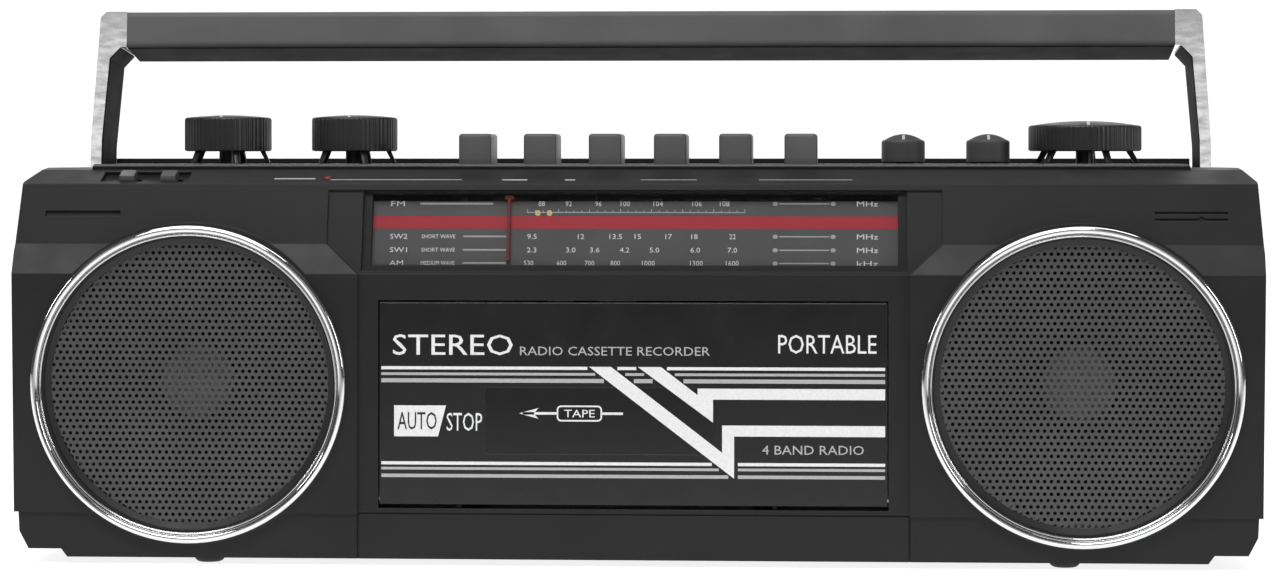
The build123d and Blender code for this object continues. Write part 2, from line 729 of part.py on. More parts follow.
with BuildPart() as dial_pointer:
    with BuildSketch(dial.offset(-pointer_depth)):
        with Locations((pointer_x, (dial_low + 1.5 + dial_high - 0.4) / 2)):
            Rectangle(0.9, dial_high - dial_low - 1.9)
    extrude(amount=-pointer_thick)
    with BuildSketch(dial.offset(-pointer_depth)):
        with Locations((pointer_x, dial_high - 1.1)):
            Rectangle(3.0, 1.2)
    extrude(amount=-(dial_frame_thick + 4.2 - pointer_depth))
    with BuildSketch(dial.offset(-dial_frame_thick - 2.2)):
        with Locations((pointer_x, (dial_high - 0.5 - 7.0) / 2)):
            Rectangle(5.0, dial_high - 0.5 + 7.0)
    extrude(amount=-1.2)
    # jaw that holds the cord
    block((pointer_x - 2.5, cord_front_y - 3.0, drum_z - 1.5),
          (pointer_x + 2.5, cord_front_y + 1.6, drum_z + 1.5))
    block((pointer_x - 3.5, cord_front_y - cord_r - 0.1, drum_z - cord_r - 0.1),
          (pointer_x + 3.5, cord_front_y + cord_r + 0.1, drum_z + cord_r + 0.1), Mode.SUBTRACT)
save(dial_pointer, "dial_pointer")

with BuildPart() as tuning_drum:
    upright(tuning_x, knob_y, drum_z - 3, drum_z + 3, drum_radius + 1.2)
    upright(tuning_x, knob_y, drum_z - 3, drum_z + 3, knob_shaft_r, Mode.SUBTRACT)
    with BuildSketch(Plane.XZ.offset(-knob_y)):
        with Locations((tuning_x + drum_radius + 1.0, drum_z)):
            Rectangle(2.0, 2 * cord_r + 0.4)
    revolve(axis=Axis((tuning_x, knob_y, 0), (0, 0, 1)), mode=Mode.SUBTRACT)
save(tuning_drum, "tuning_drum")

with BuildPart() as cord_pulleys:
    for x in (left_pulley_x, right_pulley_x):
        upright(x, pulley_y, drum_z - 1.5, drum_z + 1.5, pulley_r + 1)
        with BuildSketch(Plane.XZ.offset(-pulley_y)):
            with Locations((x + pulley_r + 0.5, drum_z)):
                Rectangle(1.0, 2 * cord_r + 0.1)
        revolve(axis=Axis((x, pulley_y, 0), (0, 0, 1)), mode=Mode.SUBTRACT)
        # post down from the top wall of the case
        upright(x, pulley_y, drum_z + 1.5, case_top_z - wall - 1.5, 1.2)
    add(front_case.part, mode=Mode.SUBTRACT)
save(cord_pulleys, "cord_pulleys")

with BuildPart() as dial_cord:
    with BuildSketch(Plane.XY.offset(drum_z - cord_r)):
        with Locations((left_pulley_x, pulley_y), (right_pulley_x, pulley_y)):
            Circle(pulley_r + 2 * cord_r)
        with Locations((tuning_x, knob_y)):
            Circle(drum_radius + 2 * cord_r)
        make_hull()
        offset(amount=-2 * cord_r, mode=Mode.SUBTRACT)
    extrude(amount=2 * cord_r)
save(dial_cord, "dial_cord")


# ---------------------------------------------------------------- speakers
flange_back_y = ledge_back_y + 1.5
basket_back_y = front_y + 26.0
cap_r = cone_apex_r - 1.0
cap_height = 6.6
cap_thick = 0.6
cap_y = basket_back_y - 8.6

with BuildPart() as speaker_magnets:
    for side in sides.values():
        rod(side * speaker_x, speaker_z, basket_back_y + 2, basket_back_y + 2 + magnet_thick, magnet_r)
        rod(side * speaker_x, speaker_z, basket_back_y + 2 + magnet_thick,
            basket_back_y + 4 + magnet_thick, magnet_r - 3)
save(speaker_magnets, "speaker_magnets")

with BuildPart() as speaker_baskets:
    for side in sides.values():
        x = side * speaker_x
        with BuildPart(mode=Mode.PRIVATE) as basket:
            with BuildSketch(Plane(origin=(x, 0, speaker_z), x_dir=(1, 0, 0), z_dir=(0, 0, 1))):
                with BuildLine():
                    Polyline(
                        (basket_inner_r, ledge_back_y),
                        (basket_r, ledge_back_y),
                        (basket_r, flange_back_y),
                        (basket_inner_r + 1.2, flange_back_y),
                        (magnet_r + 3, basket_back_y),
                        (magnet_r, basket_back_y + 2),
                        (10.0, basket_back_y + 2),
                        (10.0, basket_back_y),
                        (magnet_r + 1.5, basket_back_y),
                        (basket_inner_r, flange_back_y),
                        close=True,
                    )
                make_face()
            revolve(axis=Axis((x, 0, speaker_z), (0, 1, 0)))
            with BuildSketch(facing_front(x, basket_back_y - 1.5, speaker_z)):
                with PolarLocations(basket_inner_r - 8.0, 6):
                    Circle(9.5)
            extrude(amount=(basket_back_y - flange_back_y) - 2.5, mode=Mode.SUBTRACT)
        add(basket.part)
save(speaker_baskets, "speaker_baskets")

cone_outer_r = grille_open_r - 1.0
surround_outer_r = cone_outer_r - 2.5
surround_crest_r = surround_outer_r - 2.7
surround_inner_r = surround_crest_r - 2.6

with BuildPart() as speaker_cones:
    for side in sides.values():
        x = side * speaker_x
        with BuildPart(mode=Mode.PRIVATE) as cone:
            with BuildSketch(Plane(origin=(x, 0, speaker_z), x_dir=(1, 0, 0), z_dir=(0, 0, 1))):
                with BuildLine():
                    Polyline(
                        (cone_outer_r, ledge_back_y - 0.6),
                        (cone_outer_r, ledge_back_y),
                        (surround_outer_r, ledge_back_y),
                    )
                    ThreePointArc(
                        (surround_outer_r, ledge_back_y),
                        (surround_crest_r, ledge_back_y - 1.2),
                        (surround_inner_r, ledge_back_y + 0.6),
                    )
                    Polyline(
                        (surround_inner_r, ledge_back_y + 0.6),
                        (cone_apex_r, basket_back_y - 8),
                        (cone_apex_r, basket_back_y - slip),
                        (cone_apex_r - 1, basket_back_y - slip),
                        (cone_apex_r - 1, basket_back_y - 8.6),
                        (surround_inner_r - 0.2, ledge_back_y - 0.2),
                    )
                    ThreePointArc(
                        (surround_inner_r - 0.2, ledge_back_y - 0.2),
                        (surround_crest_r, ledge_back_y - 2.0),
                        (surround_outer_r, ledge_back_y - 0.6),
                    )
                    Polyline((surround_outer_r, ledge_back_y - 0.6), (cone_outer_r, ledge_back_y - 0.6))
                make_face()
            revolve(axis=Axis((x, 0, speaker_z), (0, 1, 0)))
        add(cone.part)
save(speaker_cones, "speaker_cones")

with BuildPart() as dust_caps:
    for side in sides.values():
        x = side * speaker_x
        with BuildPart(mode=Mode.PRIVATE) as cap:
            with BuildSketch(Plane(origin=(x, 0, speaker_z), x_dir=(1, 0, 0), z_dir=(0, 0, 1))):
                with BuildLine():
                    RadiusArc((cap_r, cap_y), (0, cap_y - cap_height), dome_radius(cap_r, cap_height))
                    Line((0, cap_y - cap_height), (0, cap_y - cap_height + cap_thick))
                    RadiusArc((0, cap_y - cap_height + cap_thick), (cap_r - cap_thick, cap_y),
                              -dome_radius(cap_r - cap_thick, cap_height - cap_thick))
                    Line((cap_r - cap_thick, cap_y), (cap_r, cap_y))
                make_face()
            revolve(axis=Axis((x, 0, speaker_z), (0, 1, 0)))
        add(cap.part)
save(dust_caps, "dust_caps")

for side_name, side in sides.items():
    with BuildPart() as grille:
        rod(side * speaker_x, speaker_z, grille_seat_y - grille_thick, grille_seat_y, grille_r)
    save(grille, f"speaker_grille_{side_name}")
    with BuildPart() as ring:
        x = side * speaker_x
        with BuildSketch(Plane(origin=(x, 0, speaker_z), x_dir=(1, 0, 0), z_dir=(0, 0, 1))):
            with BuildLine():
                Polyline(
                    (ring_inner_r, grille_seat_y - grille_thick),
                    (grille_r, grille_seat_y - grille_thick),
                    (grille_r, front_y),
                    (ring_outer_r, front_y),
                    (ring_outer_r, front_y - ring_proud + 1.2),
                )
                ThreePointArc(
                    (ring_outer_r, front_y - ring_proud + 1.2),
                    (ring_outer_r - 1.8, front_y - ring_proud),
                    (ring_inner_r + 1.2, front_y - ring_proud + 1.4),
                )
                Polyline(
                    (ring_inner_r + 1.2, front_y - ring_proud + 1.4),
                    (ring_inner_r, front_y),
                    (ring_inner_r, grille_seat_y - grille_thick),
                )
            make_face()
        revolve(axis=Axis((x, 0, speaker_z), (0, 1, 0)))
    save(ring, f"speaker_ring_{side_name}")


# ---------------------------------------------------------------- cassette door
window_low_z = hub_z - window_height / 2
holder_side = 1.6
holder_half = cassette_width / 2 + 1.1
holder_back_y = door_back_y + cassette_thick + 1.2
holder_low_z = hub_z + 34.8 - cassette_height - 0.6
holder_high_z = 76.0
door_lug_x = door_half - 7.0
door_lug_width = 5.0
door_lug_r = 1.9

with BuildPart() as cassette_door:
    block((-door_half, centre_y, door_low_z), (door_half, door_back_y, door_high_z))
    chamfer(cassette_door.edges().filter_by(Axis.X).group_by(Axis.Y)[0], 0.4)
    block((window_x - window_width / 2, centre_y - 1, window_low_z),
          (window_x + window_width / 2, door_back_y + 1, window_low_z + window_height), Mode.SUBTRACT)
    for side in sides.values():
        low_x = min(side * door_lug_x, side * (door_lug_x + door_lug_width))
        with BuildSketch(Plane.YZ.offset(low_x)):
            with Locations((door_pivot_y, door_pivot_z)):
                Circle(door_lug_r)
        extrude(amount=door_lug_width)
    with BuildSketch(Plane.YZ.offset(-door_half - 1)):
        with Locations((door_pivot_y, door_pivot_z)):
            Circle(door_pin_r + running)
    extrude(amount=9, mode=Mode.SUBTRACT)
    with BuildSketch(Plane.YZ.offset(door_half + 1)):
        with Locations((door_pivot_y, door_pivot_z)):
            Circle(door_pin_r + running)
    extrude(amount=-9, mode=Mode.SUBTRACT)
save(cassette_door, "cassette_door")

with BuildPart() as cassette_window:
    block((window_x - window_width / 2, centre_y, window_low_z),
          (window_x + window_width / 2, centre_y + 1.8, window_low_z + window_height))
save(cassette_window, "cassette_window")

with BuildPart() as cassette_holder:
    for side in sides.values():
        inner = cassette_x + side * (holder_half - holder_side)
        outer = cassette_x + side * holder_half
        lip = cassette_x + side * (holder_half - 8)
        block((min(inner, outer), door_back_y, holder_low_z),
              (max(inner, outer), holder_back_y, holder_high_z))
        block((min(lip, outer), holder_back_y - 1.2, holder_low_z),
              (max(lip, outer), holder_back_y, holder_high_z))
    block((cassette_x - holder_half, door_back_y, holder_low_z - 1.2),
          (cassette_x + holder_half, holder_back_y, holder_low_z))
save(cassette_holder, "cassette_holder")

with BuildPart() as door_hinge_pins:
    for side in sides.values():
        start = side * (door_half - 7.5)
        end = side * (door_half + door_gap + 5.0)
        with BuildSketch(Plane.YZ.offset(min(start, end))):
            with Locations((door_pivot_y, door_pivot_z)):
                Circle(door_pin_r)
        extrude(amount=abs(end - start))
save(door_hinge_pins, "door_hinge_pins")


# ---------------------------------------------------------------- tape deck
chassis_back_y = chassis_y + chassis_thick
chassis_low_z = door_low_z - 3.0
chassis_high_z = door_high_z + 8.5
hubs = {"supply_spindle": cassette_x - hub_spacing / 2, "takeup_spindle": cassette_x + hub_spacing / 2}
capstan_x = cassette_x + 25.6
capstan_z = hub_z + 23.3
capstan_r = 1.25
flywheel_r = 18.0
flywheel_y = chassis_back_y + 1.6
flywheel_thick = 5.0
motor_x = -45.0
motor_z = 62.0
motor_r = 14.0
motor_pulley_r = 4.0
belt_y = flywheel_y + 1.5
belt_width = 2.0
belt_thick = 1.0
motor_front_y = flywheel_y + flywheel_thick + 1.4
motor_shaft_r = 1.0
board_y = front_y + 55.5
board_thick = 1.6
standoff_x = 84.0
key_travel = 4.5

with BuildPart() as deck_chassis:
    block((-chassis_half, chassis_y, chassis_low_z), (chassis_half, chassis_back_y, chassis_high_z))
    for x in hubs.values():
        rod(x, hub_z, chassis_y - 1, chassis_back_y + 1, 1.5 + running, Mode.SUBTRACT)
    rod(capstan_x, capstan_z, chassis_y - 1, chassis_back_y + 1, capstan_r + running, Mode.SUBTRACT)
    for side in sides.values():
        for z in (26.0, 84.0):
            rod(side * standoff_x, z, chassis_back_y, board_y, 2.2)
save(deck_chassis, "deck_chassis")

for name, x in hubs.items():
    with BuildPart() as spindle:
        rod(x, hub_z, chassis_y - 2.4, chassis_y - 1.0, 11.0)
        rod(x, hub_z, chassis_y - 9.5, chassis_y - 1.0, 3.6)
        with BuildSketch(facing_front(x, chassis_y - 8.8, hub_z)):
            with PolarLocations(4.1, 3):
                Rectangle(1.6, 1.2)
        extrude(amount=-6.8)
        rod(x, hub_z, chassis_y - 1.0, chassis_back_y + 1.2, 1.5)
    save(spindle, name)

with BuildPart() as capstan_flywheel:
    rod(capstan_x, capstan_z, chassis_y - 12.0, flywheel_y, capstan_r)
    rod(capstan_x, capstan_z, flywheel_y, flywheel_y + flywheel_thick, flywheel_r)
    fillet(capstan_flywheel.edges().group_by(Axis.Y)[-1], 0.8)
save(capstan_flywheel, "capstan_flywheel")

with BuildPart() as motor:
    rod(motor_x, motor_z, motor_front_y, motor_front_y + 17.0, motor_r)
    for angle in (100, 190, 280):
        leg_x = motor_x + 11.5 * cos(radians(angle))
        leg_z = motor_z + 11.5 * sin(radians(angle))
        rod(leg_x, leg_z, chassis_back_y, motor_front_y, 1.5)
    rod(motor_x, motor_z, motor_front_y - 1, motor_front_y + 6, motor_shaft_r + running, Mode.SUBTRACT)
save(motor, "motor")

with BuildPart() as motor_pulley:
    rod(motor_x, motor_z, belt_y - 1.0, belt_y + belt_width + 0.8, motor_pulley_r)
    rod(motor_x, motor_z, belt_y - 1.0, motor_front_y + 5, motor_shaft_r)
save(motor_pulley, "motor_pulley")

with BuildPart() as drive_belt:
    with BuildSketch(facing_front(0, belt_y, 0)):
        with Locations((motor_x, motor_z)):
            Circle(motor_pulley_r + running + belt_thick)
        with Locations((capstan_x, capstan_z)):
            Circle(flywheel_r + running + belt_thick)
        make_hull()
        offset(amount=-belt_thick, mode=Mode.SUBTRACT)
    extrude(amount=-belt_width)
save(drive_belt, "drive_belt")

head_low_z = hub_z + 34.8 + 1.2
roller_r = 6.0
roller_z = capstan_z + capstan_r + roller_r + key_travel + 0.3
bridge_y = chassis_y - 1.6
bridge_thick = 1.2
shelf_z = head_low_z + 6.0

with BuildPart() as head_bridge:
    block((cassette_x - 30, bridge_y, roller_z - 2.0),
          (cassette_x + 34, bridge_y + bridge_thick, shelf_z + 7.0))
    block((cassette_x - 24, bridge_y - 13.2, shelf_z), (cassette_x + 12, bridge_y, shelf_z + 1.4))
    rod(capstan_x, roller_z, bridge_y - 13.0, bridge_y, 1.0)
save(head_bridge, "head_bridge")

with BuildPart() as tape_heads:
    block((cassette_x - 6, bridge_y - 12.8, head_low_z + 1), (cassette_x + 6, bridge_y - 5.0, shelf_z))
    with BuildSketch(Plane.XZ.offset(-(bridge_y - 12.8))):
        with Locations((cassette_x, head_low_z + 3.0)):
            Circle(3.0)
    extrude(amount=-7.8)
    block((cassette_x - 22, bridge_y - 12.8, head_low_z + 0.6), (cassette_x - 14, bridge_y - 5.0, shelf_z))
save(tape_heads, "tape_heads")

with BuildPart() as pinch_roller:
    rod(capstan_x, roller_z, bridge_y - 12.0, bridge_y - 4.0, roller_r)
    rod(capstan_x, roller_z, bridge_y - 13.0, bridge_y, 1.0 + running, Mode.SUBTRACT)
save(pinch_roller, "pinch_roller")

with BuildPart() as main_board:
    block((-chassis_half, board_y, chassis_low_z + 4), (chassis_half, board_y + board_thick, 92.0))
    for i in range(5):
        block((-70 + i * 28, board_y + board_thick, 60), (-56 + i * 28, board_y + board_thick + 6, 66))
        rod(-62 + i * 28, 80, board_y + board_thick, board_y + board_thick + 12, 4.5)
save(main_board, "main_board")

with BuildPart() as mains_inlet:
    block((inlet_x - inlet_width / 2, rear_y - 16, inlet_z - inlet_height / 2),
          (inlet_x + inlet_width / 2, rear_y - 0.4, inlet_z + inlet_height / 2))
    with BuildSketch(Plane(origin=(inlet_x, rear_y, inlet_z), x_dir=(-1, 0, 0), z_dir=(0, 1, 0))):
        SlotOverall(15.0, 8.0)
    extrude(amount=-13, mode=Mode.SUBTRACT)
    for side in sides.values():
        rod(inlet_x + side * 4.3, inlet_z, rear_y - 13.5, rear_y - 3, 1.2)
save(mains_inlet, "mains_inlet")

with BuildPart() as battery_door:
    block((cover_low_x, rear_y - battery_door_thick, cover_hinge_z), (cover_high_x, rear_y, cover_high_z))
    for radius, reach in ((cover_hinge_r, 0), (cover_pin_r, cover_pin_length)):
        with BuildSketch(Plane.YZ.offset(cover_low_x - reach)):
            with Locations((cover_hinge_y, cover_hinge_z)):
                Circle(radius)
        extrude(amount=cover_high_x - cover_low_x + 2 * reach)
    # grooves for the thumb
    for i in range(7):
        block((battery_x - 20, rear_y - 0.5, cover_high_z - 8 - 2.4 * i),
              (battery_x + 20, rear_y + 1, cover_high_z - 6.8 - 2.4 * i), Mode.SUBTRACT)
save(battery_door, "battery_door")


# ---------------------------------------------------------------- handle
lean = radians(handle_lean)
handle_plane = Plane(
    origin=(0, handle_pivot_y, handle_pivot_z), x_dir=(1, 0, 0), z_dir=(0, -cos(lean), sin(lean))
)
arm_side_plane = Plane(
    origin=(0, handle_pivot_y, handle_pivot_z), x_dir=(0, cos(lean), -sin(lean)), z_dir=(1, 0, 0)
)
arm_foot = arm_depth / 2

for side_name, side in sides.items():
    with BuildPart() as arm:
        with BuildSketch(handle_plane):
            with BuildLine():
                Polyline(
                    (side * arm_outer_low, -arm_foot),
                    (side * arm_outer_low, arm_foot),
                    (side * arm_outer_high, grip_high - 2),
                    (side * (arm_outer_high - 2), grip_high),
                    (side * grip_half, grip_high),
                    (side * grip_half, grip_low),
                    (side * (arm_outer_high - arm_thick - 3.5), grip_low),
                    (side * (arm_outer_high - arm_thick + 0.3), grip_low - 4),
                    (side * (arm_outer_low - arm_thick), arm_foot),
                    (side * (arm_outer_low - arm_thick), -arm_foot),
                    close=True,
                )
            make_face()
        extrude(amount=arm_depth / 2, both=True)
        with BuildSketch(arm_side_plane):
            with Locations((0, grip_high / 2)):
                Rectangle(arm_depth, grip_high)
            Circle(arm_depth / 2)
        extrude(amount=case_width, both=True, mode=Mode.INTERSECT)
        with BuildSketch(Plane.YZ.offset(side * arm_outer_low)):
            with Locations((handle_pivot_y, handle_pivot_z)):
                Circle(pivot_pin_r + running)
        extrude(amount=10, both=True, mode=Mode.SUBTRACT)
    save(arm, f"handle_arm_{side_name}")

with BuildPart() as handle_grip:
    with BuildSketch(arm_side_plane.offset(-grip_half)) as section:
        with BuildLine():
            Polyline(
                (-arm_foot, grip_low),
                (arm_foot, grip_low - grip_swell),
                (arm_foot, grip_high),
                (-arm_foot, grip_high),
                close=True,
            )
        make_face()
        fillet(section.vertices(), grip_edge)
    extrude(amount=2 * grip_half)
save(handle_grip, "handle_grip")

with BuildPart() as handle_pivots:
    for side in sides.values():
        start = side * (channel_inner - wall)
        end = side * (half_width - side_taper - 2.3)
        with BuildSketch(Plane.YZ.offset(min(start, end))):
            with Locations((handle_pivot_y, handle_pivot_z)):
                Circle(pivot_pin_r)
        extrude(amount=abs(end - start))
save(handle_pivots, "handle_pivots")


# ---------------------------------------------------------------- telescopic aerial
tube_wall = 0.4
tube_play = 0.05
tube_count = 4
knuckle_half = 2.0

with BuildPart() as aerial_base:
    upright(aerial_x, aerial_y, rabbet_floor_z, rabbet_floor_z + 2.0, 4.6)
    for side in sides.values():
        y0 = aerial_y + side * (knuckle_half + 0.1)
        y1 = aerial_y + side * (knuckle_half + 1.6)
        block((aerial_x - 2.8, min(y0, y1), rabbet_floor_z + 1),
              (aerial_x + 2.8, max(y0, y1), aerial_z + 2.6))
    rod(aerial_x, aerial_z, aerial_y - knuckle_half - 1.6, aerial_y + knuckle_half + 1.6, 1.0)
save(aerial_base, "aerial_base")


def aerial_tube(outer, inner, start, length):
    """Adds a tube along -X from a start distance beside the knuckle in the current part."""
    across = Plane(origin=(aerial_x - start, aerial_y, aerial_z), x_dir=(0, 1, 0), z_dir=(-1, 0, 0))
    with BuildSketch(across) as section:
        Circle(outer)
        if inner:
            Circle(inner, mode=Mode.SUBTRACT)
    extrude(section.sketch, amount=length)


tube_start = 6.0
tube_length = aerial_length - tube_start
with BuildPart() as aerial_knuckle:
    rod(aerial_x, aerial_z, aerial_y - knuckle_half, aerial_y + knuckle_half, 2.6)
    aerial_tube(2.0, 0, 0, tube_start)
    aerial_tube(aerial_r, aerial_r - tube_wall, tube_start, aerial_length - tube_start)
    aerial_tube(aerial_r, 0, tube_start - 1.5, 1.5)
    rod(aerial_x, aerial_z, aerial_y - knuckle_half, aerial_y + knuckle_half, 1.0 + running, Mode.SUBTRACT)
save(aerial_knuckle, "aerial_knuckle")

for step in range(1, tube_count):
    outer = aerial_r - step * (tube_wall + tube_play)
    last = step == tube_count - 1
    with BuildPart() as tube:
        aerial_tube(outer, 0 if last else outer - tube_wall, tube_start + 1.0 + step, tube_length)
        if last:
            aerial_tube(aerial_r, 0, tube_start + 1.0 + step + tube_length, 4.0)
    save(tube, f"aerial_tube_{step + 1}")
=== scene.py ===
"""Finishes, printed marks and detailed pieces of a portable radio cassette recorder, in metres."""

import logging
import math
from dataclasses import dataclass, field
from enum import Enum

import bmesh
import bpy
import numpy as np
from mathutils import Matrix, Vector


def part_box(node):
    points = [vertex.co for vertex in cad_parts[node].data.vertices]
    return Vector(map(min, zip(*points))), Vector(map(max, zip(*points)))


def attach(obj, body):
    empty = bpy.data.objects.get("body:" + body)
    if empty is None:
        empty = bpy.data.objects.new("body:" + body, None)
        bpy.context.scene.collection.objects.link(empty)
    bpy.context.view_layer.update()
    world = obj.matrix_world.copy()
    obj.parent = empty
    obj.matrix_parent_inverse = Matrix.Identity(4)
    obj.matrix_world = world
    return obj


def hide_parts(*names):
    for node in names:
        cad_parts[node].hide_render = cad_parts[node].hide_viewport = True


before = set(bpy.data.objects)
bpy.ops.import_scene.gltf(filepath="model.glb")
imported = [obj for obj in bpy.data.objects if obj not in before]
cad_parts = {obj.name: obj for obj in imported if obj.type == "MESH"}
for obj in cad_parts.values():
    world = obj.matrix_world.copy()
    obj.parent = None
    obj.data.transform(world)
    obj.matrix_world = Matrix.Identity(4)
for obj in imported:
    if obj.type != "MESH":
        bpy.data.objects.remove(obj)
log = logging.getLogger("recorder")

Colour = tuple[float, float, float]
Vec = tuple[float, float, float]
MM = 0.001
LEVEL = ((1.0, 0.0, 0.0), (0.0, 1.0, 0.0), (0.0, 0.0, 1.0))


# ------------------------------------------------------------------------------ finishes
class Shader:
    """The node tree of one material while it is put together."""

    def __init__(self, name: str, colour: Colour, roughness: float, metallic: float = 0.0) -> None:
        """Starts a Principled surface.

        Args:
            name: name of the material.
            colour: linear base colour.
            roughness: roughness where nothing varies it.
            metallic: 1 for bare metal.
        """
        self.material = bpy.data.materials.new(name)
        self.material.use_nodes = True
        self.tree = self.material.node_tree
        self.surface = self.tree.nodes["Principled BSDF"]
        self.surface.inputs["Base Color"].default_value = (*colour, 1.0)
        self.surface.inputs["Roughness"].default_value = roughness
        self.surface.inputs["Metallic"].default_value = metallic
        self.where = self.tree.nodes.new("ShaderNodeTexCoord").outputs["Object"]
        self.normal: bpy.types.NodeSocket | None = None

    def set(self, name: str, value: float) -> None:
        """Sets one constant of the surface."""
        self.surface.inputs[name].default_value = value

    def feed(self, name: str, source: bpy.types.NodeSocket) -> None:
        """Joins a varying value to one input of the surface."""
        self.tree.links.new(source, self.surface.inputs[name])

    def stretched(self, scale: Vec) -> bpy.types.NodeSocket:
        """Object coordinates multiplied by a factor on each axis.

        Args:
            scale: factor on X, Y and Z.

        Returns:
            The vector socket.
        """
        node = self.tree.nodes.new("ShaderNodeMapping")
        node.inputs["Scale"].default_value = scale
        self.tree.links.new(self.where, node.inputs["Vector"])
        return node.outputs["Vector"]

    def noise(self, size: float, detail: float = 3.0, scale: Vec = (1.0, 1.0, 1.0)) -> bpy.types.NodeSocket:
        """Cloudy noise.

        Args:
            size: size of one blotch, in metres.
            detail: octaves of finer noise.
            scale: stretch on each axis.

        Returns:
            The value socket, from 0 to 1.
        """
        node = self.tree.nodes.new("ShaderNodeTexNoise")
        node.inputs["Scale"].default_value = 1.0 / size
        node.inputs["Detail"].default_value = detail
        self.tree.links.new(self.stretched(scale), node.inputs["Vector"])
        return node.outputs["Fac"]

    def pebbles(self, size: float) -> bpy.types.NodeSocket:
        """Distance to the nearest of many scattered points, as on spark-eroded moulds.

        Args:
            size: distance between points, in metres.

        Returns:
            The distance socket.
        """
        node = self.tree.nodes.new("ShaderNodeTexVoronoi")
        node.inputs["Scale"].default_value = 1.0 / size
        self.tree.links.new(self.where, node.inputs["Vector"])
        return node.outputs["Distance"]

    def span(self, source: bpy.types.NodeSocket, low: float, high: float, start: float = 0.0,
             end: float = 1.0) -> bpy.types.NodeSocket:
        """Maps start..end of a value onto low..high.

        Args:
            source: the value.
            low: result at start.
            high: result at end.
            start: value that gives low.
            end: value that gives high.

        Returns:
            The mapped value.
        """
        node = self.tree.nodes.new("ShaderNodeMapRange")
        for name, value in (("From Min", start), ("From Max", end), ("To Min", low), ("To Max", high)):
            node.inputs[name].default_value = value
        self.tree.links.new(source, node.inputs["Value"])
        return node.outputs["Result"]

    def tint(self, factor: bpy.types.NodeSocket, low: Colour, high: Colour) -> None:
        """Lets the base colour run between two colours.

        Args:
            factor: 0 for the first colour, 1 for the second.
            low: first colour.
            high: second colour.
        """
        node = self.tree.nodes.new("ShaderNodeMix")
        node.data_type = "RGBA"
        self.tree.links.new(factor, node.inputs["Factor"])
        for socket in node.inputs:
            if socket.type == "RGBA":
                socket.default_value = (*(low if socket.identifier.startswith("A") else high), 1.0)
        colour = [socket for socket in node.outputs if socket.type == "RGBA"][0]
        self.feed("Base Color", colour)

    def soft_edges(self, radius: float) -> None:
        """Turns the shading normal over every edge, as on a moulded part.

        Args:
            radius: radius of the turn, in metres.
        """
        node = self.tree.nodes.new("ShaderNodeBevel")
        node.samples = 4
        node.inputs["Radius"].default_value = radius
        self.normal = node.outputs["Normal"]
        self.feed("Normal", self.normal)

    def bump(self, height: bpy.types.NodeSocket, strength: float, distance: float) -> None:
        """Adds relief on top of what is there.

        Args:
            height: the relief, 0 to 1.
            strength: share of the effect.
            distance: real height in metres.
        """
        node = self.tree.nodes.new("ShaderNodeBump")
        node.inputs["Strength"].default_value = strength
        node.inputs["Distance"].default_value = distance
        self.tree.links.new(height, node.inputs["Height"])
        if self.normal is not None:
            self.tree.links.new(self.normal, node.inputs["Normal"])
        self.normal = node.outputs["Normal"]
        self.feed("Normal", self.normal)


def paler(colour: Colour, factor: float) -> Colour:
    """The colour multiplied by a factor."""
    return (colour[0] * factor, colour[1] * factor, colour[2] * factor)


@dataclass(frozen=True)
class Finish:
    """What every finish has."""

    name: str
    slot: str
    colour: Colour
    roughness: float

    def make(self) -> bpy.types.Material:
        """Makes the material; each kind of finish has its own."""
        raise NotImplementedError


@dataclass(frozen=True)
class Plastic(Finish):
    """Moulded plastic with spark-eroded grain, slightly polished by hands."""

    grain: float = 0.00045
    depth: float = 0.00003
    specular: float = 0.5
    edge: float = 0.0005

    def make(self) -> bpy.types.Material:
        """Grain as fine pebbles and noise; broad clouds change tone and roughness.

        Returns:
            The material.
        """
        shader = Shader(self.name, self.colour, self.roughness)
        shader.set("Specular IOR Level", self.specular)
        clouds = shader.span(shader.noise(0.03, 4.0), 0.0, 1.0, 0.3, 0.7)
        shader.tint(clouds, paler(self.colour, 0.86), paler(self.colour, 1.14))
        rubbed = shader.noise(0.011, 5.0)
        shader.feed("Roughness", shader.span(rubbed, self.roughness - 0.05, self.roughness + 0.06, 0.3, 0.7))
        if self.edge:
            shader.soft_edges(self.edge)
        shader.bump(shader.pebbles(self.grain), 0.5, self.depth)
        shader.bump(shader.noise(self.grain * 2.2, 2.0), 0.35, self.depth)
        return shader.material


@dataclass(frozen=True)
class Plated(Finish):
    """Chrome plating on plastic, with faint waves of the moulding under it."""

    waves: float = 0.00002

    def make(self) -> bpy.types.Material:
        """A nearly clean mirror whose roughness has fine wipe marks.

        Returns:
            The material.
        """
        shader = Shader(self.name, self.colour, self.roughness, 1.0)
        smears = shader.noise(0.006, 5.0, (1.0, 1.0, 3.0))
        shader.feed("Roughness", shader.span(smears, self.roughness * 0.6, self.roughness * 1.7, 0.35, 0.7))
        shader.tint(shader.noise(0.02), paler(self.colour, 0.95), self.colour)
        shader.bump(shader.noise(0.012, 1.0), 0.25, self.waves)
        return shader.material


@dataclass(frozen=True)
class Drawn(Finish):
    """Rolled or turned metal with a direction."""

    along: Vec = (1.0, 14.0, 14.0)
    relief: float = 0.00001

    def make(self) -> bpy.types.Material:
        """Noise stretched along one axis gives the brushed lines.

        Returns:
            The material.
        """
        shader = Shader(self.name, self.colour, self.roughness, 1.0)
        lines = shader.noise(0.004, 4.0, self.along)
        shader.feed("Roughness", shader.span(lines, self.roughness - 0.08, self.roughness + 0.12, 0.3, 0.7))
        shader.tint(shader.noise(0.01, 3.0), paler(self.colour, 0.8), self.colour)
        shader.bump(lines, 0.3, self.relief)
        return shader.material


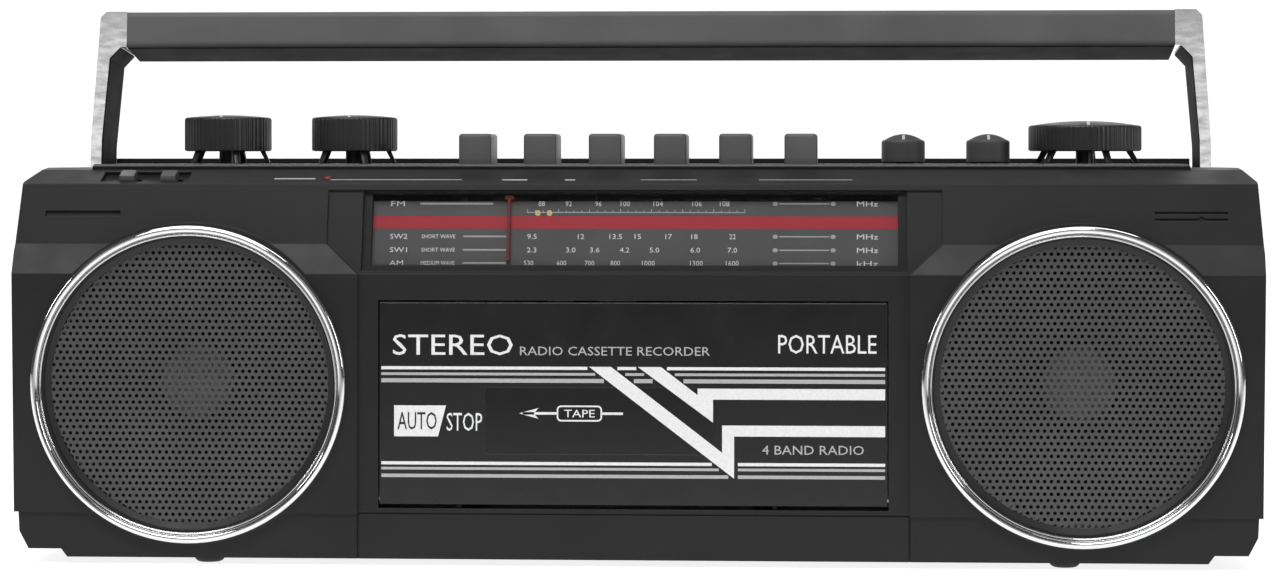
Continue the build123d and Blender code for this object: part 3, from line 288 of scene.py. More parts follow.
@dataclass(frozen=True)
class Painted(Finish):
    """Sprayed paint on sheet metal, worn a little brighter in places."""

    def make(self) -> bpy.types.Material:
        """Fine orange peel and a satin that varies.

        Returns:
            The material.
        """
        shader = Shader(self.name, self.colour, self.roughness)
        shader.set("Metallic", 0.35)
        shader.tint(shader.noise(0.02, 5.0), paler(self.colour, 0.8), paler(self.colour, 1.25))
        satin = shader.noise(0.004, 3.0)
        shader.feed("Roughness", shader.span(satin, self.roughness - 0.08, self.roughness + 0.08))
        shader.bump(shader.noise(0.0004, 2.0), 0.2, 0.00001)
        return shader.material


@dataclass(frozen=True)
class Lens(Finish):
    """A clear or smoked moulded window."""

    cover: float = 0.15

    def make(self) -> bpy.types.Material:
        """A glossy skin that hides a share of what is behind it, with faint dust.

        Returns:
            The material.
        """
        shader = Shader(self.name, self.colour, self.roughness)
        shader.set("Alpha", self.cover)
        shader.set("Specular IOR Level", 0.5)
        shader.tint(shader.noise(0.015), paler(self.colour, 0.8), self.colour)
        dust = shader.noise(0.003, 4.0)
        shader.feed("Roughness", shader.span(dust, self.roughness, self.roughness * 2.5, 0.4, 0.8))
        return shader.material


@dataclass(frozen=True)
class Ink(Finish):
    """Silk-screened ink with a slightly uneven film."""

    def make(self) -> bpy.types.Material:
        """Tone and relief follow the mesh of the screen.

        Returns:
            The material.
        """
        shader = Shader(self.name, self.colour, self.roughness)
        film = shader.noise(0.0006, 3.0)
        shader.tint(shader.span(film, 0.0, 1.0, 0.3, 0.7), paler(self.colour, 0.88), self.colour)
        shader.feed("Roughness", shader.span(film, self.roughness - 0.06, self.roughness + 0.08))
        shader.bump(film, 0.2, 0.00001)
        return shader.material


@dataclass(frozen=True)
class Pulp(Finish):
    """Pressed paper of a speaker cone."""

    def make(self) -> bpy.types.Material:
        """Short fibres in the colour and the relief.

        Returns:
            The material.
        """
        shader = Shader(self.name, self.colour, self.roughness)
        shader.set("Sheen Weight", 0.15)
        fibres = shader.noise(0.0009, 6.0, (1.0, 1.0, 2.6))
        share = shader.span(fibres, 0.0, 1.0, 0.35, 0.65)
        shader.tint(share, paler(self.colour, 0.7), paler(self.colour, 1.25))
        shader.bump(fibres, 0.5, 0.0001)
        return shader.material


@dataclass(frozen=True)
class Rubber(Finish):
    """Matt rubber with fine dust in its pores."""

    def make(self) -> bpy.types.Material:
        """Pores as small pebbles, dust as pale clouds.

        Returns:
            The material.
        """
        shader = Shader(self.name, self.colour, self.roughness)
        shader.tint(shader.noise(0.005, 5.0), self.colour, paler(self.colour, 1.8))
        worn = shader.noise(0.002, 3.0)
        shader.feed("Roughness", shader.span(worn, self.roughness - 0.06, self.roughness + 0.06))
        shader.bump(shader.pebbles(0.0004), 0.4, 0.00004)
        return shader.material


class Coat(Enum):
    """Every finish of the recorder."""

    CASE = Plastic("grained_black_plastic", "case", (0.0115, 0.0115, 0.0119), 0.44,
                   depth=0.00002, specular=0.3)
    PANEL = Plastic("gloss_black_plastic", "gloss_black", (0.010, 0.010, 0.010), 0.16,
                    grain=0.0009, depth=0.000004)
    DOOR = Plastic("satin_black_door", "door_black", (0.0045, 0.0045, 0.0047), 0.24,
                   grain=0.0009, depth=0.000005)
    GRIP = Plastic("satin_grey_grip", "grip", (0.11, 0.11, 0.111), 0.5, depth=0.00002, specular=0.3)
    KEY = Plastic("satin_grey_keys", "key_black", (0.10, 0.10, 0.101), 0.42,
                  grain=0.0006, depth=0.00001, specular=0.35)
    CAP_KNOB = Plastic("satin_grey_knobs", "knob_black", (0.075, 0.075, 0.076), 0.5,
                       grain=0.0006, depth=0.00001, specular=0.3, edge=0.0)
    KNOB = Plastic("satin_black_knobs", "knob_black", (0.018, 0.018, 0.018), 0.34,
                   grain=0.0006, depth=0.00001, edge=0.0)
    SWITCH = Plastic("satin_grey_switches", "switch_grey", (0.07, 0.07, 0.072), 0.4,
                     grain=0.0006, depth=0.00001)
    NYLON = Plastic("natural_nylon", "nylon", (0.62, 0.61, 0.57), 0.5, grain=0.0008, depth=0.00001)
    NYLON_DARK = Plastic("black_nylon", "nylon_dark", (0.022, 0.022, 0.022), 0.5, grain=0.0008, depth=0.00001)
    SCALE = Plastic("printed_scale", "dial_print", (0.070, 0.070, 0.071), 0.45,
                    grain=0.0008, depth=0.000005)
    POINTER = Plastic("red_pointer", "pointer_red", (0.14, 0.008, 0.011), 0.45,
                      grain=0.0008, depth=0.000005)
    BOARD = Plastic("phenolic_board", "board", (0.10, 0.16, 0.06), 0.45, grain=0.001, depth=0.00002)
    CORD = Plastic("braided_cord", "cord", (0.62, 0.60, 0.52), 0.8, grain=0.0004, depth=0.0001)
    CHROME = Plated("bright_chrome", "chrome", (0.80, 0.80, 0.81), 0.07)
    ARM = Plated("satin_chrome_arms", "chrome", (0.78, 0.78, 0.79), 0.14, waves=0.000004)
    DARK_CHROME = Plated("shaded_chrome", "chrome", (0.55, 0.55, 0.56), 0.16)
    STEEL = Drawn("zinc_plated_steel", "steel", (0.50, 0.50, 0.49), 0.34)
    BRASS = Drawn("turned_brass", "brass", (0.66, 0.50, 0.24), 0.28)
    FERRITE = Drawn("sintered_ferrite", "ferrite", (0.09, 0.09, 0.09), 0.62)
    MESH = Painted("satin_black_mesh", "grille", (0.075, 0.075, 0.076), 0.42)
    CLEAR = Lens("clear_window", "clear_lens", (0.04, 0.04, 0.04), 0.05, cover=0.06)
    SMOKED = Lens("smoked_window", "smoked_lens", (0.004, 0.004, 0.004), 0.08, cover=0.86)
    WHITE_INK = Ink("white_ink", "dial_print", (0.86, 0.86, 0.86), 0.55)
    GREY_INK = Ink("grey_ink", "dial_print", (0.46, 0.46, 0.46), 0.55)
    BLACK_INK = Ink("black_ink", "dial_print", (0.006, 0.006, 0.006), 0.5)
    RED_INK = Ink("red_ink", "pointer_red", (0.42, 0.012, 0.026), 0.5)
    YELLOW_INK = Ink("yellow_ink", "dial_print", (0.62, 0.55, 0.22), 0.5)
    # Black liners inside the arms; the same black film under the grip is painted shade.
    LINER = Plastic("black_liner", "nylon_dark", (0.003, 0.003, 0.003), 0.75,
                    depth=0.00001, specular=0.15, edge=0.0)
    FRAME = Plastic("black_mesh_frame", "nylon_dark", (0.004, 0.004, 0.004), 0.5, depth=0.00001, edge=0.0)
    CONE = Pulp("black_pulp_cone", "cone_paper", (0.020, 0.020, 0.020), 0.85)
    # Partly painted highlight: the cap's grey is raised well above its own so the cap shows bright through
    # the mesh.
    CAP = Pulp("grey_dust_cap_painted_highlight", "dust_cap", (0.75, 0.75, 0.75), 0.55)
    RUBBER = Rubber("black_rubber", "rubber", (0.016, 0.016, 0.016), 0.78)


class Wardrobe:
    """Makes each material once."""

    def __init__(self) -> None:
        """Starts empty."""
        self.made: dict[str, bpy.types.Material] = {}

    def get(self, coat: Coat) -> bpy.types.Material:
        """The material of a finish, made the first time it is asked for.

        Args:
            coat: the finish.

        Returns:
            Its material.
        """
        if coat.name not in self.made:
            self.made[coat.name] = coat.value.make()
        return self.made[coat.name]

    def dress(self, node: str, coat: Coat) -> None:
        """Puts a finish on every material slot of a CAD node.

        Args:
            node: name of the node.
            coat: the finish.
        """
        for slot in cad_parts[node].material_slots:
            slot.material = self.get(coat)
        log.info("dressed %s in %s", node, coat.value.name)


wardrobe = Wardrobe()


# ------------------------------------------------------------------------------ surfaces
@dataclass(frozen=True)
class Place:
    """An origin with three axes that carries local numbers into the frame."""

    origin: Vec
    across: Vec = (1.0, 0.0, 0.0)
    up: Vec = (0.0, 0.0, 1.0)
    out: Vec = (0.0, -1.0, 0.0)

    def world(self, points: np.ndarray) -> np.ndarray:
        """Origin plus each local number times its axis."""
        return np.asarray(self.origin) + points @ np.array([self.across, self.up, self.out])


def rounded(width: float, height: float, radius: float, steps: int = 5) -> np.ndarray:
    """A rectangle about the origin: a quarter circle at each corner, carried out by the rest of the size.

    Args:
        width: size across.
        height: size up.
        radius: corner radius.
        steps: steps in each corner.

    Returns:
        Points anticlockwise, (4 * (steps + 1), 2).
    """
    turn = np.linspace(0.0, np.pi / 2, steps + 1)
    corner = np.array([[1, 1], [-1, 1], [-1, -1], [1, -1]])
    angle = turn[None, :] + np.arange(4)[:, None] * np.pi / 2
    arc = radius * np.stack([np.cos(angle), np.sin(angle)], -1)
    half = np.array([width / 2 - radius, height / 2 - radius])
    return (arc + (corner * half)[:, None, :]).reshape(-1, 2)


def inset(outline: np.ndarray, distance: float) -> np.ndarray:
    """Moves each corner in along its mitre, the mean of its two edge normals over that mean's length squared.

    Args:
        outline: anticlockwise points, (m, 2).
        distance: how far every edge moves in.

    Returns:
        The smaller outline.
    """
    edge = np.roll(outline, -1, 0) - outline
    edge = edge / np.maximum(np.linalg.norm(edge, axis=1, keepdims=True), 1e-12)
    normal = np.stack([-edge[:, 1], edge[:, 0]], -1)
    mitre = (normal + np.roll(normal, 1, 0)) / 2
    return outline + distance * mitre / np.maximum((mitre**2).sum(1, keepdims=True), 0.25)


def slab(place: Place, outline: np.ndarray, low: float, high: float, edge: float, steps: int = 3
         ) -> np.ndarray:
    """Rings of a plate with quarter-round rims: inset edge * (1 - sin t), rise edge * (1 - cos t).

    Args:
        place: where the outline lies.
        outline: anticlockwise points, (m, 2).
        low: level of the back.
        high: level of the front.
        edge: radius of the rims, or 0 for sharp ones.
        steps: steps in each rim.

    Returns:
        Rings in the frame, (n, m, 3).
    """
    turn = np.linspace(0.0, np.pi / 2, steps + 1) if edge else np.array([np.pi / 2])
    pull = edge * (1 - np.sin(turn))
    rise = edge * (1 - np.cos(turn))
    pulls = np.concatenate([pull, pull[::-1]])
    levels = np.concatenate([low + rise, (high - rise)[::-1]])
    rings = [np.column_stack([inset(outline, p), np.full(len(outline), z)]) for p, z in zip(pulls, levels)]
    return place.world(np.array(rings))


def turned(place: Place, radii: np.ndarray, levels: np.ndarray, count: int, ripple: np.ndarray | None = None,
           weight: np.ndarray | None = None) -> np.ndarray:
    """Rings of a turned shape: radius times cosine and sine of the angle, less ripple times weight.

    Args:
        place: axis along out, through the origin.
        radii: radius of each ring.
        levels: level of each ring.
        count: points in a ring.
        ripple: depth of the flutes at each angle.
        weight: share of the flutes at each ring.

    Returns:
        Rings in the frame, (n, count, 3).
    """
    turn = np.linspace(0.0, 2 * np.pi, count, endpoint=False)
    radius = np.repeat(np.asarray(radii)[:, None], count, 1)
    if ripple is not None and weight is not None:
        radius = radius - weight[:, None] * ripple[None, :]
    level = np.repeat(np.asarray(levels)[:, None], count, 1)
    return place.world(np.stack([radius * np.cos(turn), radius * np.sin(turn), level], -1))


class Skin:
    """Vertices and faces of one piece, gathered surface by surface."""

    def __init__(self) -> None:
        """Starts empty."""
        self.points: list[np.ndarray] = []
        self.faces: list[list[int]] = []
        self.count = 0

    def add(self, points: np.ndarray, faces: list[list[int]]) -> "Skin":
        """Adds points and the faces that index them from 0.

        Args:
            points: (n, 3) points in the frame.
            faces: corners of each face.

        Returns:
            This skin.
        """
        self.faces += [[i + self.count for i in face] for face in faces]
        self.points.append(points)
        self.count += len(points)
        return self

    def loft(self, rings: np.ndarray, capped: bool = True, around: bool = False) -> "Skin":
        """Quads between each ring and the next.

        Args:
            rings: (n, m, 3) points.
            capped: closes the first and the last ring with one face each.
            around: joins the last ring to the first instead.

        Returns:
            This skin.
        """
        n, m, _ = rings.shape
        index = np.arange(n * m).reshape(n, m)
        rows = np.vstack([index, index[:1]]) if around else index
        a, b = rows[:-1], rows[1:]
        faces = np.stack([a, np.roll(a, -1, 1), np.roll(b, -1, 1), b], -1).reshape(-1, 4).tolist()
        if capped and not around:
            faces += [index[0][::-1].tolist(), index[-1].tolist()]
        return self.add(rings.reshape(-1, 3), faces)

    def stroke(self, place: Place, path: list[tuple[float, float]], width: float, thick: float) -> "Skin":
        """A flat line: a thin rectangle carried along the path, mitred at its corners.

        Args:
            place: the surface it lies on.
            path: points across and up.
            width: width of the line.
            thick: thickness of the film.

        Returns:
            This skin.
        """
        line = np.array(path, float)
        step = np.diff(line, axis=0)
        step = step / np.linalg.norm(step, axis=1, keepdims=True)
        side = np.stack([-step[:, 1], step[:, 0]], -1)
        both = np.vstack([side[:1], side]) + np.vstack([side, side[-1:]])
        both = both / np.maximum((both**2).sum(1, keepdims=True) / 2, 0.2)
        left, right = line + both * width / 2, line - both * width / 2
        flat = [np.column_stack([edge, np.full(len(line), level)])
                for edge, level in ((left, 0.0), (right, 0.0), (right, thick), (left, thick))]
        return self.loft(place.world(np.stack(flat, 1)))

    def outline(self, place: Place, points: list[tuple[float, float]], thick: float) -> "Skin":
        """A flat patch with a sharp rim."""
        return self.loft(slab(place, np.array(points, float), 0.0, thick, 0.0))

    def words(self, place: Place, text: str, box: tuple[float, float, float, float], thick: float) -> "Skin":
        """Lettering scaled to fill a box.

        Args:
            place: the surface it lies on.
            text: what it says.
            box: left, right, bottom and top.
            thick: thickness of the film.

        Returns:
            This skin.
        """
        curve = bpy.data.curves.new("lettering", "FONT")
        curve.body = text
        curve.resolution_u = 2
        curve.extrude = 0.5
        holder = bpy.data.objects.new("lettering", curve)
        bpy.context.scene.collection.objects.link(holder)
        bpy.context.view_layer.update()
        graph = bpy.context.evaluated_depsgraph_get()
        mesh = bpy.data.meshes.new_from_object(holder.evaluated_get(graph))
        flat = np.zeros(len(mesh.vertices) * 3)
        mesh.vertices.foreach_get("co", flat)
        points = flat.reshape(-1, 3)
        faces = [list(face.vertices) for face in mesh.polygons]
        bpy.data.objects.remove(holder)
        bpy.data.curves.remove(curve)
        bpy.data.meshes.remove(mesh)
        low, high = points.min(0), points.max(0)
        target = np.array([[box[0], box[2], 0.0], [box[1], box[3], thick]])
        scaled = target[0] + (points - low) / (high - low) * (target[1] - target[0])
        return self.add(place.world(scaled), faces)

    def make(self, name: str, body: str, coat: Coat, replaces: tuple[str, ...] = (), sharp: float = 35.0
             ) -> bpy.types.Object:
        """Merges the seams, turns the faces outwards and puts the piece on its body.

        Args:
            name: name of the piece.
            body: CAD body that it rides on.
            coat: its finish.
            replaces: CAD nodes that it stands for.
            sharp: edges that turn more than this many degrees stay crisp.

        Returns:
            The object.
        """
        mesh = bpy.data.meshes.new(name)
        mesh.from_pydata(np.concatenate(self.points).tolist(), [], self.faces)
        work = bmesh.new()
        work.from_mesh(mesh)
        bmesh.ops.remove_doubles(work, verts=work.verts, dist=1e-7)
        bmesh.ops.dissolve_degenerate(work, edges=work.edges, dist=1e-8)
        bmesh.ops.recalc_face_normals(work, faces=work.faces)
        work.to_mesh(mesh)
        work.free()
        mesh.shade_smooth()
        mesh.set_sharp_from_angle(angle=math.radians(sharp))
        piece = bpy.data.objects.new(name, mesh)
        bpy.context.scene.collection.objects.link(piece)
        mesh.materials.append(wardrobe.get(coat))
        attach(piece, body)
        if replaces:
            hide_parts(*replaces)
        log.info("made %s on %s, %d faces", name, body, len(mesh.polygons))
        return piece


def middle(node: str) -> np.ndarray:
    """Middle of a CAD node's box.

    Args:
        node: name of the node.

    Returns:
        Its X, Y and Z.
    """
    low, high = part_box(node)
    return (np.array(low) + np.array(high)) / 2


# ------------------------------------------------------------------------------ speakers
@dataclass
class Speaker:
    """Chrome ring, perforated mesh, cone and dust cap of one side."""

    side: str
    pitch: float = 0.00215
    row: float = 0.00200
    hole: float = 0.00060
    mesh_thick: float = 0.0007
    ring_width: float = 3.6 * MM
    mesh_inset: float = 5.6 * MM
    centre: Vec = field(init=False)
    front: float = field(init=False)
    outer: float = field(init=False)
    back: float = field(init=False)

    def __post_init__(self) -> None:
        """Takes its place from the CAD ring."""
        x, _, z = middle(f"speaker_ring_{self.side}")
        low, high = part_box(f"speaker_ring_{self.side}")
        self.front = low.y
        self.outer = (high.x - low.x) / 2
        self.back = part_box(f"speaker_grille_{self.side}")[1].y
        self.centre = (x, 0.0, z)

    def place(self, y: float) -> Place:
        """The speaker's axis at a depth, which is the Y it is given."""
        return Place((self.centre[0], y, self.centre[2]))

    def make_ring(self) -> None:
        """The ring's section: half an ellipse for the crown, a lower one for the inner lip, a steep wall.

        Half an ellipse of half width a and height b: r = middle + a cos t, z = foot + b sin t.
        """
        inner = self.outer - self.ring_width
        crown_half, crown_high = 1.35 * MM, 1.5 * MM
        lip_half, lip_high, lip_foot = 0.4 * MM, 0.7 * MM, -1.9 * MM
        skirt, wall, clear = -2.95 * MM, 0.4 * MM, 0.9 * MM
        crown = np.linspace(0.0, np.pi, 17)
        crown_r = self.outer - crown_half + crown_half * np.cos(crown)
        crown_z = -crown_high + crown_high * np.sin(crown)
        lip = np.linspace(0.0, np.pi, 9)
        lip_r = inner + lip_half + lip_half * np.cos(lip)
        lip_z = lip_foot + lip_high * np.sin(lip)
        depth = self.back - self.front - clear
        radii = np.concatenate([[self.outer], crown_r, lip_r, [inner, self.outer - wall]])
        levels = np.concatenate([[skirt], crown_z, lip_z, [-depth, skirt]])
        name = f"speaker_ring_{self.side}"
        Skin().loft(turned(self.place(self.front), radii, levels, 128), around=True).make(
            f"bright_{name}", "case", Coat.CHROME, (name,), 50.0)

    def make_mesh(self) -> None:
        """Hexagonal cells on a staggered grid, each with a twelve-sided hole, and the frame round them.

        A cell's rim is pitch / 2 away at the middle of a side and pitch / sqrt(3) at a corner, and its Z is
        stretched by row / (pitch * sqrt(3) / 2). Twice the rim at a side's middle is the next cell's
        centre: where that is beyond the mesh, the side gets a wall of its own.
        """
        reach = self.outer - self.mesh_inset
        rows = int(reach / self.row) + 1
        i, j = np.meshgrid(np.arange(-rows * 2, rows * 2 + 1), np.arange(-rows, rows + 1))
        x = (i + 0.5 * (j % 2)) * self.pitch
        z = j * self.row
        keep = np.hypot(x, z) < reach
        centre = np.stack([x[keep], z[keep]], -1)
        turn = np.arange(12) * np.pi / 6
        mid_side = np.arange(12) % 2 == 0
        rim = np.where(mid_side, self.pitch / 2, self.pitch / math.sqrt(3))
        stretch = self.row / (self.pitch * math.sqrt(3) / 2)
        cell = np.stack([rim * np.cos(turn), rim * np.sin(turn) * stretch], -1)
        hole = self.hole * np.stack([np.cos(turn), np.sin(turn)], -1)
        front, back = np.zeros(12), np.full(12, -self.mesh_thick)
        section = np.array([np.column_stack([cell, front]), np.column_stack([hole, front]),
                            np.column_stack([hole, back]), np.column_stack([cell, back])])
        points = section[None] + np.pad(centre, ((0, 0), (0, 1)))[:, None, None, :]
        index = np.arange(points[..., 0].size).reshape(len(centre), 4, 12)
        a, b = index[:, :-1], index[:, 1:]
        walls = np.stack([a, b, np.roll(b, -1, 2), np.roll(a, -1, 2)], -1).reshape(-1, 4)
        beyond = centre[:, None, :] + 2 * cell
        bare = (np.hypot(beyond[..., 0], beyond[..., 1]) >= reach) & mid_side
        near, far = index[:, 0], index[:, 3]
        quads = np.stack([near, np.roll(near, 1, 1), np.roll(far, 1, 1), far], -1)
        quads = np.concatenate([quads[bare], np.roll(quads, -1, 1)[bare]])
        place = self.place(self.back - self.mesh_thick - 0.05 * MM)
        skin = Skin().add(place.world(points.reshape(-1, 3)), walls.tolist() + quads.tolist())
        log.info("mesh cells %d", len(centre))
        skin.make(f"perforated_mesh_{self.side}", "case", Coat.MESH, (f"speaker_grille_{self.side}",), 30.0)
        inside, outside = reach - 0.5 * MM, self.outer - self.ring_width - 0.1 * MM
        levels = np.array([0.10, 1.2, -0.1, -0.1]) * MM
        rings = turned(place, np.array([inside, outside, outside, inside]), levels, 96)
        Skin().loft(rings, around=True).make(f"mesh_frame_{self.side}", "case", Coat.FRAME)

    def make_cone(self, shift: float) -> None:
        """A surround roll, a flank with pressed ribs, and a cap that is a quarter ellipse turned.

        Roll: r = middle + half cos t, z = high sin t - drop. Flank: r falls evenly from the surround to the
        neck, z = -foot - (depth - slack) s^0.85 + rib cos(2 pi ribs s).

        Args:
            shift: level of the surround's rim behind the ring's front.
        """
        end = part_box("speaker_cones")[1]
        rim, depth = end.z - self.centre[2], end.y - shift
        surround, neck, foot, slack = 7.6 * MM, 10.0 * MM, 0.6 * MM, 1.4 * MM
        roll_in, roll_half, roll_high, drop = 4.4 * MM, 2.6 * MM, 0.9 * MM, 0.3 * MM
        rib, ribs, paper = 0.16 * MM, 7, 0.5 * MM
        flank = np.linspace(0.0, 1.0, 30)
        flank_r = rim - surround - (rim - surround - neck) * flank
        flank_z = -foot - (depth - slack) * flank**0.85 + rib * np.cos(flank * 2 * np.pi * ribs)
        roll = np.linspace(0.0, np.pi, 12)
        roll_r = rim - roll_in + roll_half * np.cos(roll)
        roll_z = roll_high * np.sin(roll) - drop
        radii = np.concatenate([[rim], roll_r, flank_r])
        levels = np.concatenate([[-drop], roll_z, flank_z])
        back = levels - paper
        rings = turned(self.place(shift), np.concatenate([radii, radii[::-1]]),
                       np.concatenate([levels, back[::-1]]), 96)
        Skin().loft(rings, around=True).make(
            f"pressed_cone_{self.side}", "case", Coat.CONE, ("speaker_cones",))
        low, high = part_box("dust_caps")
        # The cap's pale colour is partly painted highlight.
        cap_radius, seat, hollow = 11.9 * MM, 0.6 * MM, 0.8 * MM
        turn = np.linspace(0.0, 1.0, 14)
        base = high.y - shift - seat
        rise = high.y - low.y - hollow
        dome_r = cap_radius * np.cos(turn * np.pi / 2)
        dome_z = -base + rise * np.sin(turn * np.pi / 2)
        shell = turned(self.place(shift), np.concatenate([dome_r, dome_r[::-1] * 0.96]),
                       np.concatenate([dome_z, dome_z[::-1] - paper]), 64)
        Skin().loft(shell, capped=False, around=True).make(
            f"domed_cap_{self.side}", "case", Coat.CAP, ("dust_caps",))

    def build(self) -> None:
        """Builds the four pieces."""
        self.make_ring()
        self.make_mesh()
        self.make_cone(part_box("speaker_cones")[0].y + 0.7 * MM)


# ------------------------------------------------------------------------------ knobs and keys
@dataclass
class Knob:
    """A turning knob: a fluted drum on flared legs, or a plain domed cap down to the deck."""

    node: str
    flutes: int
    flute_depth: float
    dome: float
    coat: Coat = Coat.KNOB
    legs: int = 5
    leg_width: float = 0.0020
    leg_height: float = 0.0042
    play: float = 0.0004
    shoulder: float = 0.9 * MM
    shaft: float = 3.0 * MM

    def build(self) -> None:
        """A drum, its shaft, its legs and a line on top, from the CAD knob's box and the deck's level."""
        low, high = (np.array(corner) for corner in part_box(self.node))
        radius = (high[0] - low[0]) / 2
        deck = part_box("top_deck_panel")[1].z
        x, y = (low[0] + high[0]) / 2, (low[1] + high[1]) / 2
        place = Place((x, y, deck), *LEVEL)
        base = self.leg_height if self.legs else self.play
        skin = self.drum(place, radius, high[2] - deck, base)
        foot, head = low[2] - deck, base + 0.2 * MM
        radii, levels = np.array([0.0, self.shaft, self.shaft, 0.0]), np.array([foot, foot, head, head])
        skin.loft(turned(place, radii, levels, 32), capped=False)
        self.stand(skin, place, radius, base)
        skin.make(f"turned_{self.node}", self.node, self.coat, (self.node,), 40.0)
        top = Place((x, y, high[2] - self.dome), *LEVEL)
        outer_end = radius - 1.2 * MM
        inner_end, width, film = outer_end * 0.45, 0.9 * MM, self.dome * 0.8 + 0.04 * MM
        Skin().stroke(top, [(0.0, -outer_end), (0.0, -inner_end)], width, film).make(
            f"line_on_{self.node}", self.node, Coat.WHITE_INK)

    def drum(self, place: Place, radius: float, top: float, base: float) -> Skin:
        """A turned drum: level underside, straight wall, quarter-round shoulder and a dome.

        The dome is top - dome * (r / dome radius)^2. The flutes cut depth * (0.5 - 0.5 cos(n t))^0.7 into the
        wall and fade out into the shoulder and the base.

        Args:
            place: axis of the knob, from the deck up.
            radius: radius of the drum.
            top: height of the dome.
            base: height of the underside.

        Returns:
            A skin with the drum in it.
        """
        fillet = np.linspace(0.0, np.pi / 2, 6)
        wall_top = top - self.dome - self.shoulder
        dome_radius = radius - self.shoulder
        crown = np.linspace(dome_radius, 0.0, 9)[1:]
        crown_z = top - self.dome * (crown / dome_radius) ** 2
        underside = [0.0, radius * 0.6, radius - 0.8 * MM, radius - 0.1 * MM]
        radii = np.concatenate([underside, np.full(6, radius),
                                radius - self.shoulder * (1 - np.cos(fillet))[1:], crown])
        wall = np.linspace(base + 0.7 * MM, wall_top, 6)
        levels = np.concatenate([[base, base, base, base + 0.3 * MM], wall,
                                 wall_top + self.shoulder * np.sin(fillet)[1:], crown_z])
        count = max(self.flutes * 6, 48)
        turn = np.linspace(0.0, 2 * np.pi, count, endpoint=False)
        ripple = self.flute_depth * (0.5 - 0.5 * np.cos(turn * self.flutes)) ** 0.7
        weight = np.concatenate([[0, 0, 0, 0.4], np.ones(6), np.linspace(1.0, 0.0, 5), np.zeros(len(crown))])
        return Skin().loft(turned(place, radii, levels, count, ripple, weight), capped=False)

    def stand(self, skin: Skin, place: Place, radius: float, base: float) -> None:
        """Legs, each a slanted four-sided plate in a plane through the axis.

        Args:
            skin: where they are added.
            place: axis of the knob.
            radius: radius of the drum.
            base: height of the underside.
        """
        root, first = base + 0.5 * MM, math.radians(5.0)
        shape = np.array([[0.72 * radius, root], [0.88 * radius, self.play], [0.97 * radius, self.play],
                          [0.84 * radius, root]])
        for step in range(self.legs):
            turn = first + 2 * math.pi * step / self.legs
            radial = Place(place.origin, (math.cos(turn), math.sin(turn), 0.0), (0.0, 0.0, 1.0),
                           (math.sin(turn), -math.cos(turn), 0.0))
            skin.loft(slab(radial, shape, -self.leg_width / 2, self.leg_width / 2, 0.3 * MM, 2))


@dataclass
class Key:
    """A piano key: a crowned cap on its lever."""

    node: str
    body: str
    depth: float = 22.0 * MM
    cap_foot: float = 7.5 * MM
    corner: float = 1.3 * MM
    edge: float = 1.1 * MM
    eye: float = 3.5 * MM
    lever_high: float = 6.0 * MM

    def build(self) -> None:
        """The cap is a rounded block; the lever is a plate with a round eye that runs back to the shaft."""
        low, high = (np.array(corner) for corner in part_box(self.node))
        x = (low[0] + high[0]) / 2
        width = high[0] - low[0]
        foot = low[2] + self.cap_foot
        place = Place((x, low[1] + self.depth / 2, foot), *LEVEL)
        cap = slab(place, rounded(width, self.depth, self.corner), 0.0, high[2] - foot, self.edge, 5)
        skin = Skin().loft(cap)
        side = Place((x, 0.0, 0.0), (0, 1, 0), (0, 0, 1), (1, 0, 0))
        _, shaft_y, shaft_z = middle("key_shaft")
        turn = np.linspace(-np.pi / 2, np.pi / 2, 12)
        eye = np.stack([shaft_y + self.eye * np.cos(turn), shaft_z + self.eye * np.sin(turn)], -1)
        start, end = low[1] + 3.0 * MM, low[1] + self.depth - 2.0 * MM
        lever = np.vstack([[[start, shaft_z - self.eye]], eye,
                           [[end, shaft_z + self.lever_high], [start, shaft_z + self.lever_high]]])
        skin.loft(slab(side, lever, -width / 4, width / 4, 0.3 * MM, 2))
        skin.make(f"crowned_{self.node}", self.body, Coat.KEY, (self.node,), 40.0)


